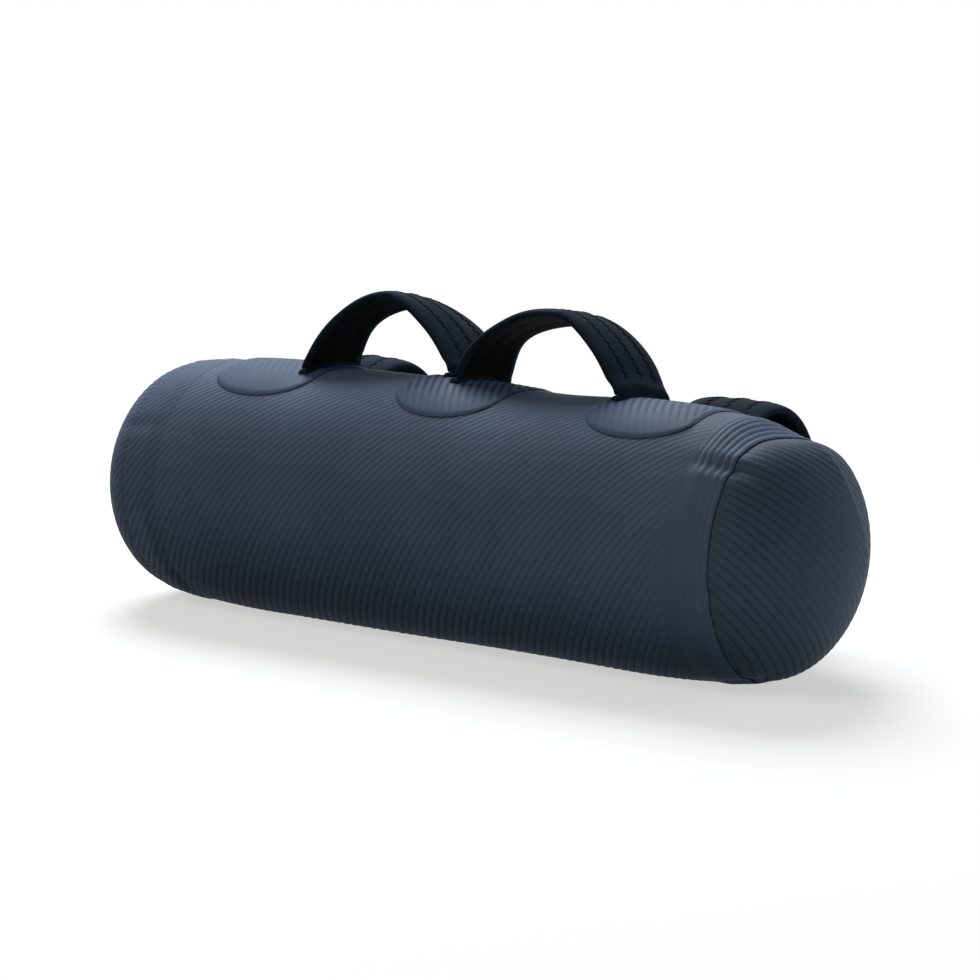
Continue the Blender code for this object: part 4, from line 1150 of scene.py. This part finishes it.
class MakeSleeves(bpy.types.Operator):
    """Pads each handle's strap with a sewn sleeve"""

    bl_idname = "training_bag.make_sleeves"
    bl_label = "Make padded sleeves"

    def execute(self, context):
        shape = BagShape()
        sizes = context.scene.bag_handles
        look = knitted_cover("sleeve knitted cover", context.scene.bag_colours.sleeve)
        thread = sewing_thread("sleeve thread", context.scene.bag_colours.thread)
        for name in HANDLES:
            strap = strap_of(name, shape)
            span = strap.length - 2 * sizes.sleeve_start

            def place(u, v):
                across, out = self.section(1 - u)
                run = sizes.sleeve_start + span * v
                run = run + np.sign(0.5 - v) * self.corner(across, v)
                rise = self.thickness(strap, run)
                dents = self.dents(across) * (out > 0)
                out = sizes.half_thickness * (out * rise - dents)
                girth = np.where(out > 0, across, 4 * sizes.half_width - across)
                return strap.point(run, across, out), np.stack([girth, run], -1)

            piece = wrapped_grid(name + "_sleeve", *SLEEVE_GRID, place, MERGE_GAP)
            thicken(piece, sizes.sleeve_skin)
            finish_piece(piece, look)
            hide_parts(name + "_grip")
            bend_with(piece, strap)
            self.stitch(name, strap, thread)
        return {"FINISHED"}

    def section(self, u):
        """Across the strap and out of it, for a place round the sleeve's flat oval."""
        half_width = bpy.context.scene.bag_handles.half_width
        turn = np.where(u < 0.5, 4 * u - 1, 3 - 4 * u)
        across = turn * (1 + EDGE_CROWDING - EDGE_CROWDING * turn**2) * half_width
        return across, np.where(u < 0.5, 1.0, -1.0) * self.face(across)

    def face(self, across):
        """The level of the sleeve's face, which puffs up between the rows of stitches."""
        part = np.abs(across) / bpy.context.scene.bag_handles.half_width
        level = np.maximum(1 - part**EDGE_POWER, 0.0) ** 0.5
        return level * (1 + PUFF * np.cos(len(STITCH_ROWS) * math.pi * part))

    def corner(self, across, v):
        """How far the sleeve's rounded corners set its ends back."""
        inner = bpy.context.scene.bag_handles.half_width - CORNER_RADIUS
        past = np.clip((np.abs(across) - inner) / CORNER_RADIUS, 0.0, 1.0)
        near_end = 1 - smooth(np.minimum(v, 1 - v), 0.0, CORNER_SHARE)
        return CORNER_RADIUS * (1 - np.sqrt(1 - past**2)) * near_end

    def thickness(self, strap, run):
        """The rolled hem at each end of the sleeve, and the full pad between them."""
        reach = np.maximum(strap.from_foot(run) - strap.sizes.sleeve_start, 0.0)
        (ridge, *over), (groove, *behind) = HEM_RIDGE, HEM_GROOVE
        hem = ridge * bump(reach, *over) - groove * bump(reach, *behind)
        return END_SHARE + PAD_SHARE * smooth(reach, *PAD_RUN) + hem

    def dents(self, across):
        """How deep the rows of stitches pull the outer face in."""
        pitch = bpy.context.scene.bag_handles.stitch_row
        return sum(ROW_DENT * bump(across, row * pitch, DENT_WIDTH) for row in STITCH_ROWS)

    def stitch(self, name, strap, thread):
        """Zigzag rows of thread, sunk in the outer face."""
        sizes = bpy.context.scene.bag_handles
        lines = []
        margin = sizes.sleeve_start + STITCH_MARGIN
        steps = int((strap.length - 2 * margin) / (sizes.stitch_pitch / 2))
        run = np.linspace(margin, strap.length - margin, steps + 1)
        swing = sizes.stitch_swing * np.where(np.arange(steps + 1) % 2, 1.0, -1.0)
        for row in STITCH_ROWS:
            across = row * sizes.stitch_row + swing
            level = self.face(across) * self.thickness(strap, run)
            level = level - self.dents(across) - THREAD_SINK
            lines.append(strap.point(run, across, sizes.half_thickness * level))
        piece = wire_piece(name + "_stitching", lines, sizes.thread_radius)
        finish_piece(piece, thread)
        bend_with(piece, strap)


# One half of a rolled foot's outline, in tenths of a millimetre, and the level that its ends
# close to, in metres.
HEM_ALONG = (0, 26, 50, 53, 49, 43, 41, 38, 32, 25, 20, 18, 0)
HEM_HEIGHT = (-4, -4, -3, 4, 10, 14, 19, 25, 28, 27, 22, 16, 15)
HEM_MIDDLE = 0.0008
# How square a foot's closed ends are, and metres round it for each along its outline.
HEM_POWER, HEM_STRETCH = 14, 3
# Where a strap starts over its patch, how much wider it is there, and where that fades.
STRAP_START, STRAP_FLARE, FLARE_RUN = 0.0021, 0.42, (0.004, 0.012)


class MakeStraps(bpy.types.Operator):
    """Weaves the strap inside each sleeve and hems its feet to the patches"""

    bl_idname = "training_bag.make_straps"
    bl_label = "Make straps and feet"

    def execute(self, context):
        shape = BagShape()
        sizes = context.scene.bag_handles
        colours = context.scene.bag_colours
        look = woven_strap("strap webbing", colours.webbing)
        hem_look = knitted_cover("foot knitted cover", scaled(colours.sleeve, 0.8))
        for name, feet in HANDLES.items():
            strap = strap_of(name, shape)

            def place(u, v):
                run = STRAP_START + (strap.length - 2 * STRAP_START) * v
                flare = STRAP_FLARE * (1 - smooth(strap.from_foot(run), *FLARE_RUN))
                across = sizes.webbing_half_width * (1 + flare) * (1 - 2 * u)
                out = np.full_like(run, sizes.webbing_half_thickness)
                return strap.point(run, across, out), np.stack([across, run], -1)

            piece = wrapped_grid(name + "_strap", *STRAP_GRID, place)
            thicken(piece, 2 * sizes.webbing_half_thickness)
            finish_piece(piece, look)
            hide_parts(name + "_webbing")
            bend_with(piece, strap)
            for foot, foot_name in enumerate(feet):
                self.hem(f"{name}_{foot_name}", strap, foot, hem_look)
        return {"FINISHED"}

    def hem(self, name, strap, foot, look):
        """Two rolled lips with the strap between them, closed at both ends."""
        sizes = bpy.context.scene.bag_handles
        right = np.stack([HEM_ALONG, HEM_HEIGHT], -1) * 0.0001
        outline = np.concatenate([right, right[-2:0:-1] * (-1, 1)])
        loop = np.concatenate([outline, outline[:1]])

        def place(u, v):
            index = np.rint(u * len(outline)).astype(int)
            along, height = loop[index].T
            across = sizes.foot_half_length * np.sin(math.pi * (v - 0.5))
            size = np.sqrt(np.maximum(1 - np.abs(2 * v - 1) ** HEM_POWER, 0.0))
            level = HEM_MIDDLE + (height - HEM_MIDDLE) * size
            points = strap.foot_point(foot, along * size, across, level)
            return points, np.stack([along * HEM_STRETCH, across], -1)

        piece = wrapped_grid(name + "_hem", len(outline), HEM_ROWS, place, MERGE_GAP)
        in_edit_mode(piece, bpy.ops.mesh.normals_make_consistent, inside=False)
        bpy.ops.object.shade_smooth_by_angle(angle=math.radians(60.0))
        finish_piece(piece, look, "bag")
        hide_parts(name)


# Thickness of the tether's two rings, which don't stretch, and steps in one turn of the spring.
TETHER_RING, COIL_STEPS = 0.0012, 24


class FinishValve(bpy.types.Operator):
    """Gives the valve's plastic, rubber and steel parts and the water their finishes"""

    bl_idname = "training_bag.finish_valve"
    bl_label = "Finish valve and water"

    def execute(self, context):
        colours = context.scene.bag_colours
        plastic = moulded_plastic("valve moulded plastic", colours.valve)
        rubber = seal_rubber("valve rubber", colours.rubber)
        looks = {
            "valve_base": plastic,
            "valve_nut": plastic,
            "valve_stem": plastic,
            "valve_cap": plastic,
            "valve_gasket": rubber,
            "valve_poppet": rubber,
            "water_fill": clear_water("water charge", colours.water),
        }
        for name, look in looks.items():
            for index in range(len(NODES[name].data.materials)):
                NODES[name].data.materials[index] = look
        steel = spring_steel("valve spring steel", colours.steel)
        self.wind_spring(context.scene.bag_valve, steel)
        self.shape_tether(rubber)
        return {"FINISHED"}

    def wind_spring(self, valve, look):
        """A coil between the barrel's spider and the stem's button."""
        low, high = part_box("valve_spring")
        _, y, z = (low + high) / 2
        wire = valve.spring_wire
        turns = np.linspace(0.0, valve.spring_coils, COIL_STEPS * valve.spring_coils + 1)
        reach = (high.z - low.z) / 2 - wire
        x = low.x + wire + (high.x - low.x - 2 * wire) * turns / valve.spring_coils
        coil = radial(FULL_TURN * turns) * reach + np.array([0.0, y, z])
        coil[:, 0] = x
        piece = wire_piece("valve_spring_coil", [coil], wire, 2)
        finish_piece(piece, look)
        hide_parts("valve_spring")
        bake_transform(piece)

    def shape_tether(self, look):
        """The rubber loop between its clamp ring and the cap's ring, copied from the imported
        tether.
        """
        piece = bpy.data.objects.new("valve_tether_loop", NODES["valve_tether"].data.copy())
        for holder in (piece, piece.data):
            for key in list(holder.keys()):
                del holder[key]
        bpy.context.scene.collection.objects.link(piece)
        in_edit_mode(piece, bpy.ops.mesh.remove_doubles, threshold=MERGE_GAP)
        bpy.ops.object.shade_smooth_by_angle(angle=math.radians(40.0))
        finish_piece(piece, look)
        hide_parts("valve_tether")
        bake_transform(piece)


# The photograph's width in pixels, and how far its middle lies from the camera's axis in them.
PHOTO_WIDTH = 980
PHOTO_SHIFT = (17.54, 22.27)
COOL, WARM = (0.93, 0.98, 1.0), (1.0, 0.93, 0.84)
WHITE = (1.0, 1.0, 1.0)
# The lamps: name, place, width and colour.
LAMPS = (
    ("key", (-1.18, 1.20, 2.08), 1.9, COOL),
    ("front", (-0.92, -1.90, 1.66), 1.4, WARM),
    ("side", (1.50, 1.90, 0.55), 1.0, COOL),
)


class MakeStudio(bpy.types.Operator):
    """Sets the white floor, the soft lamps and the camera"""

    bl_idname = "training_bag.make_studio"
    bl_label = "Make studio"

    def execute(self, context):
        studio = context.scene.bag_studio
        axis = BagShape().axis
        bpy.ops.object.select_all(action="DESELECT")
        bpy.ops.mesh.primitive_grid_add(x_subdivisions=8, y_subdivisions=8, size=44.0)
        floor = bpy.context.object
        floor.name = "studio_floor"
        floor.data.materials.append(self.floor_look(studio))
        for name, place, size, colour in LAMPS:
            self.lamp(name, place, size, getattr(studio, name + "_power"), colour, axis)
        self.surroundings(studio.ambient)
        self.camera(context.scene, studio, Vector((0.0, 0.0, axis)))
        context.scene.view_settings.view_transform = "Standard"
        return {"FINISHED"}

    def camera(self, scene, studio, target):
        """The photograph's camera, which looks at the middle of the bag."""
        turn = studio.camera_bearing
        rise = studio.camera_rise
        direction = Vector(
            (math.sin(turn) * math.cos(rise), -math.cos(turn) * math.cos(rise), math.sin(rise))
        )
        data = bpy.data.cameras.new("photo_camera")
        data.sensor_width = 36.0
        data.lens = studio.focal_pixels / PHOTO_WIDTH * data.sensor_width
        data.shift_x, data.shift_y = (shift / PHOTO_WIDTH for shift in PHOTO_SHIFT)
        camera = bpy.data.objects.new("photo_camera", data)
        camera.location = target + direction * studio.camera_distance
        camera.rotation_euler = (-direction).to_track_quat("-Z", "Y").to_euler()
        scene.collection.objects.link(camera)
        scene.camera = camera

    def lamp(self, name, place, size, power, colour, axis):
        name = name + "_lamp"
        data = bpy.data.lights.new(name, "AREA")
        data.shape = "DISK"
        data.size = size
        data.energy = power
        data.color = colour
        lamp = bpy.data.objects.new(name, data)
        lamp.location = place
        lamp.visible_camera = False
        aim = Vector((0.0, 0.0, axis)) - Vector(place)
        lamp.rotation_euler = aim.to_track_quat("-Z", "Y").to_euler()
        bpy.context.scene.collection.objects.link(lamp)

    def floor_look(self, studio):
        """White to the camera and in reflections, with the bag's soft shadow near it.

        What the floor throws back at the bag is dim, and bright beside the right end.
        """
        surface = Surface("studio floor")
        tree = surface.tree
        spot = surface.place()
        reach = surface.node("ShaderNodeVectorMath", {"operation": "LENGTH"}, {0: spot}, 1)
        shade = surface.noise(3.0, 2.0)
        near = 1 - reach.between(0.45, 1.1)
        lit = surface.node("ShaderNodeBsdfDiffuse", None, {"Color": (0.93, 0.93, 0.93)})
        beside = surface.part(spot, "X").between(0.25, 0.36)
        dark = scaled(WHITE, studio.floor_tone)
        dim = surface.mix(beside * (0.95 + shade * 0.05), dark, scaled(WHITE, 0.95))
        bounce = surface.node("ShaderNodeBsdfDiffuse", None, {"Color": dim})
        white = surface.node("ShaderNodeEmission", None, {"Color": WHITE, "Strength": 1.0})
        seen = surface.blend(near * 0.45, white, lit)
        both = surface.blend(self.shown_rays(surface), bounce, seen)
        tree.nodes.remove(surface.shader)
        tree.links.new(both.output, tree.nodes["Material Output"].inputs["Surface"])
        return surface.material

    def shown_rays(self, shading):
        """1 for rays from the camera, in reflections and through clear pieces."""
        kinds = ("Is Camera Ray", "Is Glossy Ray", "Is Transmission Ray")
        camera, gloss, through = [
            shading.node("ShaderNodeLightPath", output=kind) for kind in kinds
        ]
        return camera.larger(gloss).larger(through)

    def surroundings(self, ambient):
        world = bpy.context.scene.world or bpy.data.worlds.new("studio")
        bpy.context.scene.world = world
        world.use_nodes = True
        sky = Shading(world.node_tree)
        glows = [
            sky.node("ShaderNodeBackground", None, {"Color": colour, "Strength": level})
            for colour, level in (((0.95, 0.98, 1.0), ambient), (WHITE, 1.0))
        ]
        both = sky.blend(self.shown_rays(sky), *glows)
        output = world.node_tree.nodes["World Output"]
        world.node_tree.links.new(both.output, output.inputs["Surface"])


PIECE_OPERATORS = (
    MakeBarrel,
    MakeBands,
    MakePatches,
    MakeCaps,
    MakeSleeves,
    MakeStraps,
    FinishValve,
    MakeStudio,
)


class TrainingBagPanel(bpy.types.Panel):
    """Lists the bag's sizes and the steps that build it"""

    bl_idname = "VIEW3D_PT_training_bag"
    bl_label = "Training bag"
    bl_space_type = "VIEW_3D"
    bl_region_type = "UI"
    bl_category = "Training bag"

    def draw(self, context):
        for operator in PIECE_OPERATORS:
            self.layout.operator(operator.bl_idname)
        for name in SETTING_GROUPS:
            box = self.layout.box()
            settings = getattr(context.scene, name)
            for key in settings.bl_rna.properties.keys():
                if key not in ("rna_type", "name"):
                    box.prop(settings, key)


def register():
    for name, group in SETTING_GROUPS.items():
        bpy.utils.register_class(group)
        setattr(bpy.types.Scene, name, bpy.props.PointerProperty(type=group))
    for operator in PIECE_OPERATORS:
        bpy.utils.register_class(operator)
    bpy.utils.register_class(TrainingBagPanel)


def unregister():
    bpy.utils.unregister_class(TrainingBagPanel)
    for operator in reversed(PIECE_OPERATORS):
        bpy.utils.unregister_class(operator)
    for name, group in reversed(SETTING_GROUPS.items()):
        delattr(bpy.types.Scene, name)
        bpy.utils.unregister_class(group)


def main():
    register()
    for operator in PIECE_OPERATORS:
        group, step = operator.bl_idname.split(".")
        getattr(getattr(bpy.ops, group), step)()


if __name__ == "__main__":
    main()
